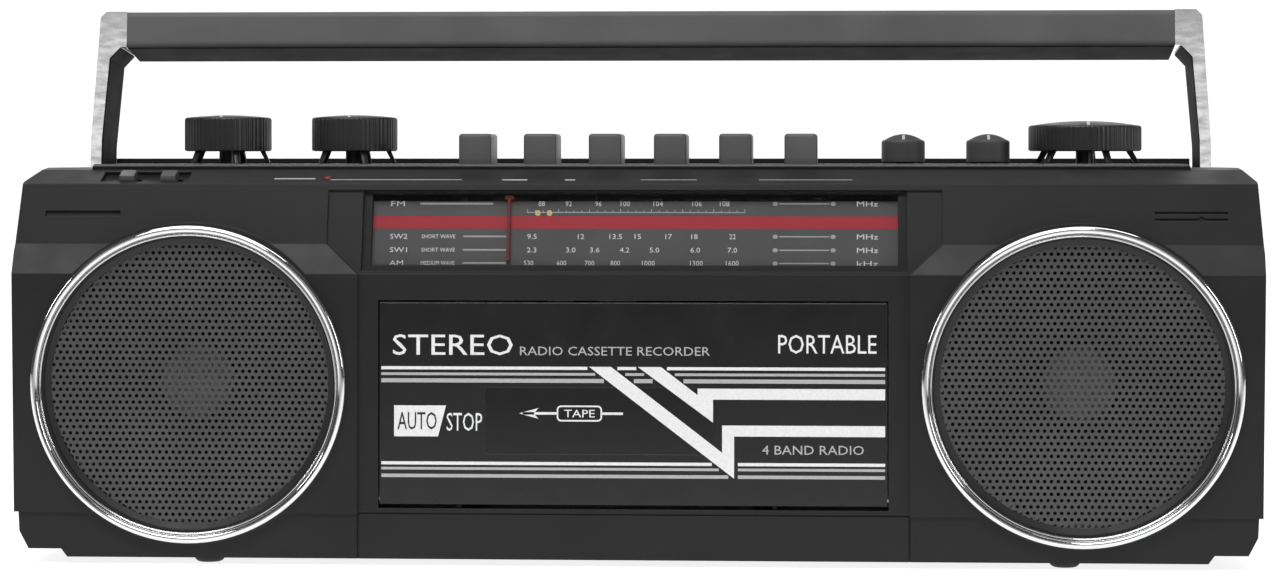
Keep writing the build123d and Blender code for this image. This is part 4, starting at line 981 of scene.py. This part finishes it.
# ------------------------------------------------------------------------------ handle
@dataclass
class Handle:
    """Black liners inside the chrome arms and a black film under the grip that is painted shade; the rest
    keeps its CAD shape.
    """

    lean: float = math.radians(6.0)
    pivot: tuple[float, float] = (0.0305, 0.1235)
    depth: float = 0.024
    arm_thick: float = 0.0037
    foot_outer: float = 0.1906
    top_outer: float = 0.1882
    grip_low: float = 0.0441
    swell: float = 0.0021
    film: float = 0.0003
    foot_start: float = 2.0 * MM
    corner_drop: float = 4.2 * MM
    corner_turn: float = 3.6 * MM
    edge_gap: float = 0.4 * MM
    wall_gap: float = 0.3 * MM

    def place(self) -> Place:
        """The pivot, with across towards the back and up along the arm."""
        return Place((0.0, *self.pivot), (0.0, math.cos(self.lean), -math.sin(self.lean)),
                     (0.0, math.sin(self.lean), math.cos(self.lean)), (1.0, 0.0, 0.0))

    def liner(self, side: int) -> None:
        """A thin sheet on the arm's inner face: plumb at the foot, straight to the corner, then in under it.

        Args:
            side: -1 for the left arm, 1 for the right.
        """
        foot, corner, half = self.depth / 2, self.grip_low - self.corner_drop, self.depth / 2 - self.edge_gap
        climb = np.array([self.foot_start, foot, foot + 0.1 * MM, corner, self.grip_low - self.wall_gap])
        wall = self.foot_outer - self.arm_thick
        top = self.top_outer - self.arm_thick + self.wall_gap
        x = wall + (top - wall) * np.clip((climb - foot) / (corner - foot), 0.0, 1.0)
        x[-1] -= self.corner_turn
        rings = np.stack([np.stack([np.array([-half, half, half, -half]), np.full(4, u),
                                    side * (at - np.array([0.0, 0.0, self.film, self.film]))], -1)
                          for u, at in zip(climb, x)])
        name = "left" if side < 0 else "right"
        Skin().loft(self.place().world(rings)).make(f"arm_liner_{name}", "handle", Coat.LINER)

    def build(self) -> None:
        """Makes the liners and the painted shade under the grip, a black film which falls by the grip's swell
        over its depth; dresses the rest.
        """
        for side in (-1, 1):
            self.liner(side)
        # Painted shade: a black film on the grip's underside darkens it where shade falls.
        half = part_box("handle_grip")[1].x - 0.2 * MM
        slope = self.swell / self.depth
        across = np.array([-self.depth / 2 + 1.6 * MM, self.depth / 2 - 2.0 * MM])
        under = self.grip_low - slope * (across + self.depth / 2)
        flat = np.array([[across[0], under[0]], [across[1], under[1]], [across[1], under[1] - self.film],
                         [across[0], under[0] - self.film]])
        rings = np.stack([np.column_stack([flat, np.full(4, x)]) for x in (-half, half)])
        Skin().loft(self.place().world(rings)).make("painted_shade_under_grip", "handle", Coat.LINER)
        wardrobe.dress("handle_grip", Coat.GRIP)
        for node in ("handle_arm_left", "handle_arm_right", "handle_pivots"):
            wardrobe.dress(node, Coat.ARM)


# ------------------------------------------------------------------------------ dial print
@dataclass
class Dial:
    """Print on the scale plate: four wave bands with their numbers, lines and the red stripe."""

    lean: float = math.atan(5.0 / 19.3)
    plate_thick: float = 0.0008
    clear: float = 0.00001
    film: float = 0.00006
    digit_height: float = 0.00165
    digit_width: float = 1.02 * MM
    ruler: float = 112.7
    ruler_ends: tuple[float, float] = (-34.8, 35.7)
    ticks: int = 29
    tick_start: float = -34.5
    tick_pitch: float = 2.5
    stripe: tuple[float, float, float] = (87.0, 107.5, 111.5)
    dots: tuple[float, float] = (-31.2, -27.4)
    rows: tuple[tuple[float, str, str, str, tuple[str, ...], tuple[float, ...]], ...] = (
        (115.5, "FM", "", "MHz", ("88", "92", "96", "100", "104", "106", "108"),
         (-30.0, -21.3, -11.7, -3.0, 7.6, 20.1, 29.0)),
        (105.0, "SW2", "SHORT WAVE", "MHz", ("9.5", "12", "13.5", "15", "17", "18", "22"),
         (-32.9, -17.1, -5.9, 1.2, 11.1, 19.4, 31.6)),
        (100.7, "SW1", "SHORT WAVE", "MHz", ("2.3", "3.0", "3.6", "4.2", "5.0", "6.0", "7.0"),
         (-32.9, -20.3, -12.6, -3.0, 6.6, 19.7, 31.6)),
        (96.5, "AM", "MEDIUM WAVE", "kHz", ("530", "600", "700", "800", "1000", "1300", "1600"),
         (-33.8, -23.2, -14.2, -5.9, 4.7, 20.1, 31.6)),
    )

    def place(self) -> Place:
        """The front of the scale plate, with up along its slope.

        Returns:
            The place, whose origin is the middle of the plate's front.
        """
        x, y, z = middle("dial_scale_plate")
        up = (0.0, math.sin(self.lean), math.cos(self.lean))
        out = (0.0, -math.cos(self.lean), math.sin(self.lean))
        half = self.plate_thick / 2 + self.clear
        return Place((x, y + out[1] * half, z + out[2] * half), (1.0, 0.0, 0.0), up, out)

    def rise(self, z: float) -> float:
        """Distance up the slope of a height given in millimetres."""
        return (z * MM - middle("dial_scale_plate")[2]) / math.cos(self.lean)

    def row(self, white: Skin, grey: Skin, z: float, band: str, wave: str, unit: str) -> None:
        """The name, words, lines and unit of one wave band.

        Args:
            white: skin of the letters.
            grey: skin of the lines.
            z: height of the row, in millimetres.
            band: short name of the band.
            wave: its long name, or nothing.
            unit: unit of its numbers.
        """
        place, up, half = self.place(), self.rise(z), self.digit_height / 2
        left = -78.8 * MM
        letter = (3.1 if len(band) == 2 else 2.6) * MM * 0.72
        white.words(place, band, (left, left + letter * len(band), up - half, up + half), self.film)
        if wave:
            small = half * 0.8
            white.words(place, wave, (-68.6 * MM, -57.7 * MM, up - small, up + small), self.film)
            grey.stroke(place, [(-55.1 * MM, up), (-41.2 * MM, up)], 0.55 * MM, self.film)
        else:
            grey.stroke(place, [(-69.3 * MM, up), (-45.7 * MM, up)], 0.7 * MM, self.film)
        grey.stroke(place, [(46.6 * MM, up), (62.6 * MM, up)], 0.4 * MM, self.film)
        for x in (45.3, 63.8):
            stop = rounded(1.6 * MM, 1.3 * MM, 0.6 * MM) + [x * MM, up]
            grey.outline(place, stop.tolist(), self.film * 1.2)
        white.words(place, unit, (71.4 * MM, 78.2 * MM, up - half, up + half), self.film)

    def build(self) -> None:
        """Prints the white, red and yellow marks and dresses the plate, the pointer and the window."""
        place = self.place()
        white, grey, red, dots = Skin(), Skin(), Skin(), Skin()
        half = self.digit_height / 2
        for z, band, wave, unit, numbers, stops in self.rows:
            self.row(white, grey, z, band, wave, unit)
            up = self.rise(z)
            for number, x in zip(numbers, stops):
                wide = self.digit_width * len(number) / 2
                white.words(place, number, (x * MM - wide, x * MM + wide, up - half, up + half), self.film)
        up = self.rise(self.ruler)
        grey.stroke(place, [(x * MM, up) for x in self.ruler_ends], 0.28 * MM, self.film)
        for i in range(self.ticks):
            x = (self.tick_start + self.tick_pitch * i) * MM
            tall = 1.1 * MM if i % 4 == 0 else 0.7 * MM
            grey.stroke(place, [(x, up), (x, up + tall)], 0.2 * MM, self.film)
        reach, low, high = self.stripe[0] * MM, self.rise(self.stripe[1]), self.rise(self.stripe[2])
        red.outline(place, [(-reach, low), (reach, low), (reach, high), (-reach, high)], self.film)
        for x in self.dots:
            dot = rounded(1.7 * MM, 1.8 * MM, 0.7 * MM) + [x * MM, self.rise(112.5)]
            dots.outline(place, dot.tolist(), self.film * 2)
        for skin, name, coat in ((white, "white_dial_print", Coat.WHITE_INK),
                                 (grey, "grey_dial_print", Coat.GREY_INK),
                                 (red, "red_dial_stripe", Coat.RED_INK),
                                 (dots, "yellow_dial_dots", Coat.YELLOW_INK)):
            skin.make(name, "case", coat)
        wardrobe.dress("dial_scale_plate", Coat.SCALE)
        wardrobe.dress("dial_pointer", Coat.POINTER)
        wardrobe.dress("dial_window", Coat.CLEAR)


# ------------------------------------------------------------------------------ door print
@dataclass
class TapeDoor:
    """Print on the cassette door: stripes, two zigzags, plain words and a badge."""

    film: float = 0.00007
    clear: float = 0.00001
    ends: tuple[float, float] = (-80.4, 80.3)
    slant: float = 1.31
    long_zig: tuple[tuple[float, float], ...] = (
        (-13.8, 63.8), (32.4, 28.4), (32.4, 41.8), (80.3, 41.8), (80.3, 45.3), (28.6, 45.3), (28.6, 36.6),
        (-6.8, 63.8))
    short_zig: tuple[tuple[float, float], ...] = (
        (1.8, 63.8), (25.7, 46.2), (25.7, 53.5), (80.3, 53.5), (80.3, 57.0), (20.8, 57.0), (20.8, 54.9),
        (9.1, 63.8))
    badge: tuple[tuple[float, float], ...] = ((-76.3, 41.4), (-62.2, 41.4), (-59.6, 51.3), (-76.3, 51.3))
    level: float = 48.9

    def stripes(self, skin: Skin, place: Place, z: float, width: float,
                gaps: list[tuple[float, float]]) -> None:
        """A level stripe across the door, broken where the zigzags cross it.

        Args:
            skin: where it is added.
            place: front of the door.
            z: height in millimetres.
            width: width in millimetres.
            gaps: breaks, left to right, in millimetres.
        """
        left = self.ends[0]
        for start, end in gaps + [(self.ends[1], 0.0)]:
            skin.stroke(place, [(left * MM, z * MM), (start * MM, z * MM)], width * MM, self.film)
            left = end

    def arrow(self, skin: Skin, place: Place) -> None:
        """A long arrow that runs through a rounded box with a word in it.

        Args:
            skin: where it is added.
            place: front of the door.
        """
        level = self.level * MM
        for left, right in ((-35.0, -24.0), (-9.8, -3.0)):
            skin.stroke(place, [(left * MM, level), (right * MM, level)], 0.8 * MM, self.film)
        head = ((-36.2, 0.0), (-30.0, -1.7), (-31.5, 0.0), (-30.0, 1.7))
        skin.outline(place, [(x * MM, level + z * MM) for x, z in head], self.film)
        box = (rounded(14.0 * MM, 4.6 * MM, 1.2 * MM) + [-16.9 * MM, level]).tolist()
        skin.stroke(place, box + box[:1], 0.5 * MM, self.film)
        skin.words(place, "TAPE", (-21.8 * MM, -12.0 * MM, level - 1.2 * MM, level + 1.2 * MM), self.film)

    def build(self) -> None:
        """Adds the print in three inks and dresses the door and its window."""
        place = Place((0.0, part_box("cassette_door")[0].y - self.clear, 0.0))
        white, grey, black = Skin(), Skin(), Skin()
        for shape in (self.long_zig, self.short_zig):
            white.outline(place, [(x * MM, z * MM) for x, z in shape], self.film)
        top = self.long_zig[0][1]
        for z, width, ink in ((63.3, 1.0, white), (61.4, 0.85, grey), (59.3, 1.3, grey)):
            drop = (top - z) * self.slant
            self.stripes(ink, place, z, width, [(-15.0 + drop, -5.4 + drop), (0.6 + drop, 10.4 + drop)])
        tip_x, tip_z = self.long_zig[1]
        for z, width, ink in ((32.9, 1.0, white), (31.2, 0.85, grey), (28.9, 1.1, grey)):
            reach = tip_x - (z - tip_z) * self.slant
            self.stripes(ink, place, z, width, [(reach - 1.2, 33.6)])
        white.outline(place, [(x * MM, z * MM) for x, z in self.badge], self.film)
        for ink, word, box, layers in ((white, "STEREO", (-76.7, -38.2, 67.4, 74.0), 1),
                                       (grey, "RADIO CASSETTE RECORDER", (-35.9, 24.7, 67.4, 70.2), 1),
                                       (white, "PORTABLE", (46.4, 77.6, 68.2, 74.2), 1),
                                       (grey, "4 BAND RADIO", (41.3, 73.6, 36.1, 39.0), 1),
                                       (black, "AUTO", (-75.2, -62.6, 43.6, 49.2), 2),
                                       (white, "STOP", (-59.4, -48.0, 43.2, 49.0), 1)):
            ink.words(place, word, tuple(side * MM for side in box), self.film * layers)
        self.arrow(white, place)
        white.make("white_door_print", "door", Coat.WHITE_INK)
        grey.make("grey_door_print", "door", Coat.GREY_INK)
        black.make("black_door_print", "door", Coat.BLACK_INK)
        wardrobe.dress("cassette_door", Coat.DOOR)
        wardrobe.dress("cassette_window", Coat.SMOKED)


# ------------------------------------------------------------------------------ top and edge print
@dataclass
class TopPanel:
    """Legends beside the knobs and keys, tick marks, and the thin print of the sloping edge."""

    film: float = 0.00005
    clear: float = 0.00001
    key_words: tuple[tuple[str, str], ...] = (
        ("record_key", "REC"), ("play_key", "PLAY"), ("rewind_key", "REW"), ("forward_key", "F.FWD"),
        ("stop_key", "STOP"), ("pause_key", "PAUSE"))
    knob_words: tuple[tuple[str, str], ...] = (
        ("volume_knob", "VOLUME"), ("tone_knob", "TONE"), ("function_knob", "FUNCTION"),
        ("band_knob", "BAND"), ("tuning_knob", "TUNING"))
    word_height: float = 2.0 * MM
    edge_run: float = 12.0
    edge_rise: float = 4.5
    bars: tuple[tuple[float, float, float, float], ...] = (
        (-117.0, -103.6, 4.0, 5.0), (-98.7, -55.8, 3.4, 3.9), (-42.8, -34.7, 3.0, 4.0),
        (-22.5, -19.2, 3.0, 4.0), (2.0, 20.0, 3.4, 3.8), (40.0, 70.0, 3.4, 3.8))

    def build(self) -> None:
        """Words in front of each knob and behind each key, and a fan of ticks round each knob."""
        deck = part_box("top_deck_panel")[1].z
        place = Place((0.0, 0.0, deck + self.clear), *LEVEL)
        skin = Skin()
        for node, word in self.knob_words:
            low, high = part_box(node)
            x, y, radius = (low.x + high.x) / 2, (low.y + high.y) / 2, (high.x - low.x) / 2
            half = 0.95 * MM * len(word)
            base = y - radius - 5.0 * MM
            skin.words(place, word, (x - half, x + half, base, base + self.word_height), self.film)
            for turn in np.radians(np.linspace(-60.0, 240.0, 11)):
                ray = np.array([math.cos(turn), math.sin(turn)])
                ends = [tuple((np.array([x, y]) + ray * (radius + gap * MM)).tolist()) for gap in (1.0, 2.4)]
                skin.stroke(place, ends, 0.35 * MM, self.film)
        for node, word in self.key_words:
            low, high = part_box(node)
            x, half = (low.x + high.x) / 2, 0.9 * MM * len(word)
            base = low.y + 27.0 * MM
            skin.words(place, word, (x - half, x + half, base, base + self.word_height), self.film)
        skin.make("top_legends", "case", Coat.WHITE_INK)
        self.edge_print()
        wardrobe.dress("top_deck_panel", Coat.PANEL)

    def edge_print(self) -> None:
        """Short bars on the sloping top edge of the front, and a small domed lamp."""
        length = math.hypot(self.edge_run, self.edge_rise)
        up = (0.0, self.edge_run / length, self.edge_rise / length)
        out = (0.0, -self.edge_rise / length, self.edge_run / length)
        foot = np.array([0.0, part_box("front_case")[0].y + 10.0 * MM, 122.0 * MM])
        start = foot + np.array(out) * 2 * self.clear
        place = Place(tuple(start.tolist()), (1.0, 0.0, 0.0), up, out)
        skin = Skin()
        for left, right, low, high in self.bars:
            corners = ((left, low), (right, low), (right, high), (left, high))
            skin.outline(place, [(x * MM, z * MM) for x, z in corners], self.film)
        skin.make("edge_print", "case", Coat.GREY_INK)
        turn = np.linspace(0.0, np.pi / 2, 6)
        lamp_at = start + np.array([-99.7 * MM, 0.0, 0.0]) + np.array(up) * 5.0 * MM
        lamp = Place(tuple(lamp_at.tolist()), (1.0, 0.0, 0.0), up, out)
        lamp_radius, lamp_high, sunk = 1.5 * MM, 0.7 * MM, 0.3 * MM
        radii = np.concatenate([[0.0], lamp_radius * np.cos(turn)])
        levels = np.concatenate([[-sunk], lamp_high * np.sin(turn)])
        Skin().loft(turned(lamp, radii, levels, 24), capped=False).make("red_lamp", "case", Coat.POINTER)


# ------------------------------------------------------------------------------ dressed CAD nodes
@dataclass
class Works:
    """The CAD nodes that keep their shape, each with its finish."""

    coats: dict[str, Coat] = field(default_factory=lambda: {
        "front_case": Coat.CASE, "rear_case": Coat.CASE, "battery_door": Coat.CASE, "case_screws": Coat.STEEL,
        "rubber_feet": Coat.RUBBER, "tuning_drum": Coat.NYLON, "cord_pulleys": Coat.NYLON,
        "dial_cord": Coat.CORD,
        "cassette_holder": Coat.NYLON_DARK, "door_hinge_pins": Coat.STEEL,
        "deck_chassis": Coat.STEEL,
        "supply_spindle": Coat.NYLON, "takeup_spindle": Coat.NYLON, "capstan_flywheel": Coat.BRASS,
        "pinch_roller": Coat.RUBBER, "head_bridge": Coat.STEEL, "tape_heads": Coat.DARK_CHROME,
        "motor": Coat.STEEL, "motor_pulley": Coat.BRASS, "drive_belt": Coat.RUBBER, "key_shaft": Coat.STEEL,
        "speaker_magnets": Coat.FERRITE, "speaker_baskets": Coat.STEEL, "speaker_cones": Coat.CONE,
        "dust_caps": Coat.CAP, "control_bodies": Coat.NYLON_DARK, "main_board": Coat.BOARD,
        "mains_inlet": Coat.NYLON_DARK, "mode_switch": Coat.SWITCH, "noise_switch": Coat.SWITCH,
        "aerial_base": Coat.NYLON_DARK, "aerial_knuckle": Coat.CHROME, "aerial_tube_2": Coat.CHROME,
        "aerial_tube_3": Coat.CHROME, "aerial_tube_4": Coat.CHROME})

    def build(self) -> None:
        """Dresses each node."""
        for node, coat in self.coats.items():
            wardrobe.dress(node, coat)


# ------------------------------------------------------------------------------ studio
@dataclass
class Studio:
    """A pale sweep, soft boxes and the camera."""

    eye: Vec = (0.067, -1.156, 0.130)
    turn: float = math.radians(3.355)
    lens: float = 97.45
    drop: float = -0.1023
    glow: float = 0.85
    glow_from: float = -0.75
    glow_to: float = -0.09
    reach: float = 4.5
    wall: float = 3.2
    wall_top: float = 3.6
    bend: float = 0.6
    boxes: tuple[tuple[str, Vec, Vec, tuple[float, float], float], ...] = (
        ("overhead", (0.0, 0.15, 1.5), (0.0, 0.0, 0.1), (1.6, 0.7), 8.0),
        ("front_key", (-0.25, -1.05, 1.35), (0.0, 0.0, 0.08), (1.2, 0.6), 17.0),
        ("front_high", (-0.1, -1.9, 0.56), (0.0, 0.0, 0.14), (1.9, 0.22), 1.3),
        ("right_side", (1.15, -0.62, 0.42), (0.15, 0.0, 0.08), (0.16, 0.55), 2.6),
        ("left_side", (-1.2, -0.3, 0.55), (-0.15, 0.0, 0.08), (0.12, 0.3), 1.2))

    def sweep(self) -> None:
        """Floor that curves up into a wall: a level run, a quarter circle, a plumb run, all one width.

        Its glow rises evenly from nothing at Y glow_from to the full strength at Y glow_to.
        """
        turn = np.linspace(0.0, np.pi / 2, 16)
        foot = self.wall - self.bend
        y = np.concatenate([[-self.reach, -1.0], foot + self.bend * np.sin(turn), [self.wall]])
        z = np.concatenate([[0.0, 0.0], self.bend - self.bend * np.cos(turn), [self.wall_top]])
        rows = np.stack([np.stack([np.full_like(y, x), y, z], -1)
                         for x in np.linspace(-self.reach, self.reach, 5)], 0)
        n, m, _ = rows.shape
        index = np.arange(n * m).reshape(n, m)
        faces = np.stack([index[:-1, :-1], index[1:, :-1], index[1:, 1:], index[:-1, 1:]], -1).reshape(-1, 4)
        mesh = bpy.data.meshes.new("studio_sweep")
        mesh.from_pydata(rows.reshape(-1, 3).tolist(), [], faces.tolist())
        mesh.shade_smooth()
        shader = Shader("pale_paper", (0.50, 0.50, 0.50), 0.9)
        shader.surface.inputs["Emission Color"].default_value = (1.0, 1.0, 1.0, 1.0)
        split = shader.tree.nodes.new("ShaderNodeSeparateXYZ")
        shader.tree.links.new(shader.where, split.inputs["Vector"])
        glow = shader.span(split.outputs["Y"], 0.0, self.glow, self.glow_from, self.glow_to)
        shader.feed("Emission Strength", glow)
        shader.bump(shader.noise(0.01), 0.05, 0.0001)
        mesh.materials.append(shader.material)
        floor = bpy.data.objects.new("studio_sweep", mesh)
        bpy.context.scene.collection.objects.link(floor)

    def box(self, name: str, at: Vec, aim: Vec, size: tuple[float, float], power: float) -> None:
        """A rectangular area light.

        Args:
            name: its name.
            at: where it stands.
            aim: the point it faces.
            size: width and height.
            power: watts.
        """
        light = bpy.data.lights.new(name, "AREA")
        light.shape = "RECTANGLE"
        light.size, light.size_y = size
        light.energy = power
        holder = bpy.data.objects.new(name, light)
        holder.location = at
        away = np.array(at) - np.array(aim)
        flat = math.hypot(away[0], away[1])
        holder.rotation_euler = (math.atan2(flat, away[2]), 0.0, math.atan2(away[1], away[0]) + math.pi / 2)
        bpy.context.scene.collection.objects.link(holder)

    def air(self) -> bpy.types.World:
        """A dim world that only the camera sees as pale.

        Returns:
            The world.
        """
        world = bpy.data.worlds.new("studio_air")
        world.use_nodes = True
        tree = world.node_tree
        dim = tree.nodes["Background"]
        dim.inputs["Color"].default_value = (1.0, 1.0, 1.0, 1.0)
        dim.inputs["Strength"].default_value = 0.07
        pale = tree.nodes.new("ShaderNodeBackground")
        pale.inputs["Color"].default_value = (0.86, 0.86, 0.86, 1.0)
        seen = tree.nodes.new("ShaderNodeMixShader")
        tree.links.new(tree.nodes.new("ShaderNodeLightPath").outputs["Is Camera Ray"], seen.inputs["Fac"])
        tree.links.new(dim.outputs["Background"], seen.inputs[1])
        tree.links.new(pale.outputs["Background"], seen.inputs[2])
        tree.links.new(seen.outputs["Shader"], tree.nodes["World Output"].inputs["Surface"])
        return world

    def build(self) -> None:
        """Sets the sweep, the lights, the air and the camera."""
        self.sweep()
        for box in self.boxes:
            self.box(*box)
        scene = bpy.context.scene
        scene.world = self.air()
        scene.view_settings.view_transform = "Standard"
        data = bpy.data.cameras.new("photographer")
        data.sensor_width = 36.0
        data.lens = self.lens
        data.shift_y = self.drop
        data.clip_start = 0.01
        camera = bpy.data.objects.new("photographer", data)
        camera.location = self.eye
        camera.rotation_euler = (math.pi / 2, 0.0, self.turn)
        scene.collection.objects.link(camera)
        scene.camera = camera


def main() -> None:
    """Builds every sub-assembly in order."""
    logging.basicConfig(level=logging.INFO, format="%(message)s")
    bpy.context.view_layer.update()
    for side in ("left", "right"):
        Speaker(side).build()
    for knob in (Knob("volume_knob", 60, 0.18 * MM, 0.8 * MM), Knob("tone_knob", 60, 0.18 * MM, 0.8 * MM),
                 Knob("function_knob", 8, 0.0, 2.0 * MM, Coat.CAP_KNOB, 0),
                 Knob("band_knob", 8, 0.0, 2.0 * MM, Coat.CAP_KNOB, 0),
                 Knob("tuning_knob", 76, 0.18 * MM, 1.5 * MM)):
        knob.build()
    for name in ("record", "play", "rewind", "forward", "stop", "pause"):
        Key(f"{name}_key", f"{name}_lever").build()
    for part in (Handle(), Dial(), TapeDoor(), TopPanel(), Works(), Studio()):
        part.build()
        log.info("built %s", type(part).__name__)


if __name__ == "__main__":
    main()
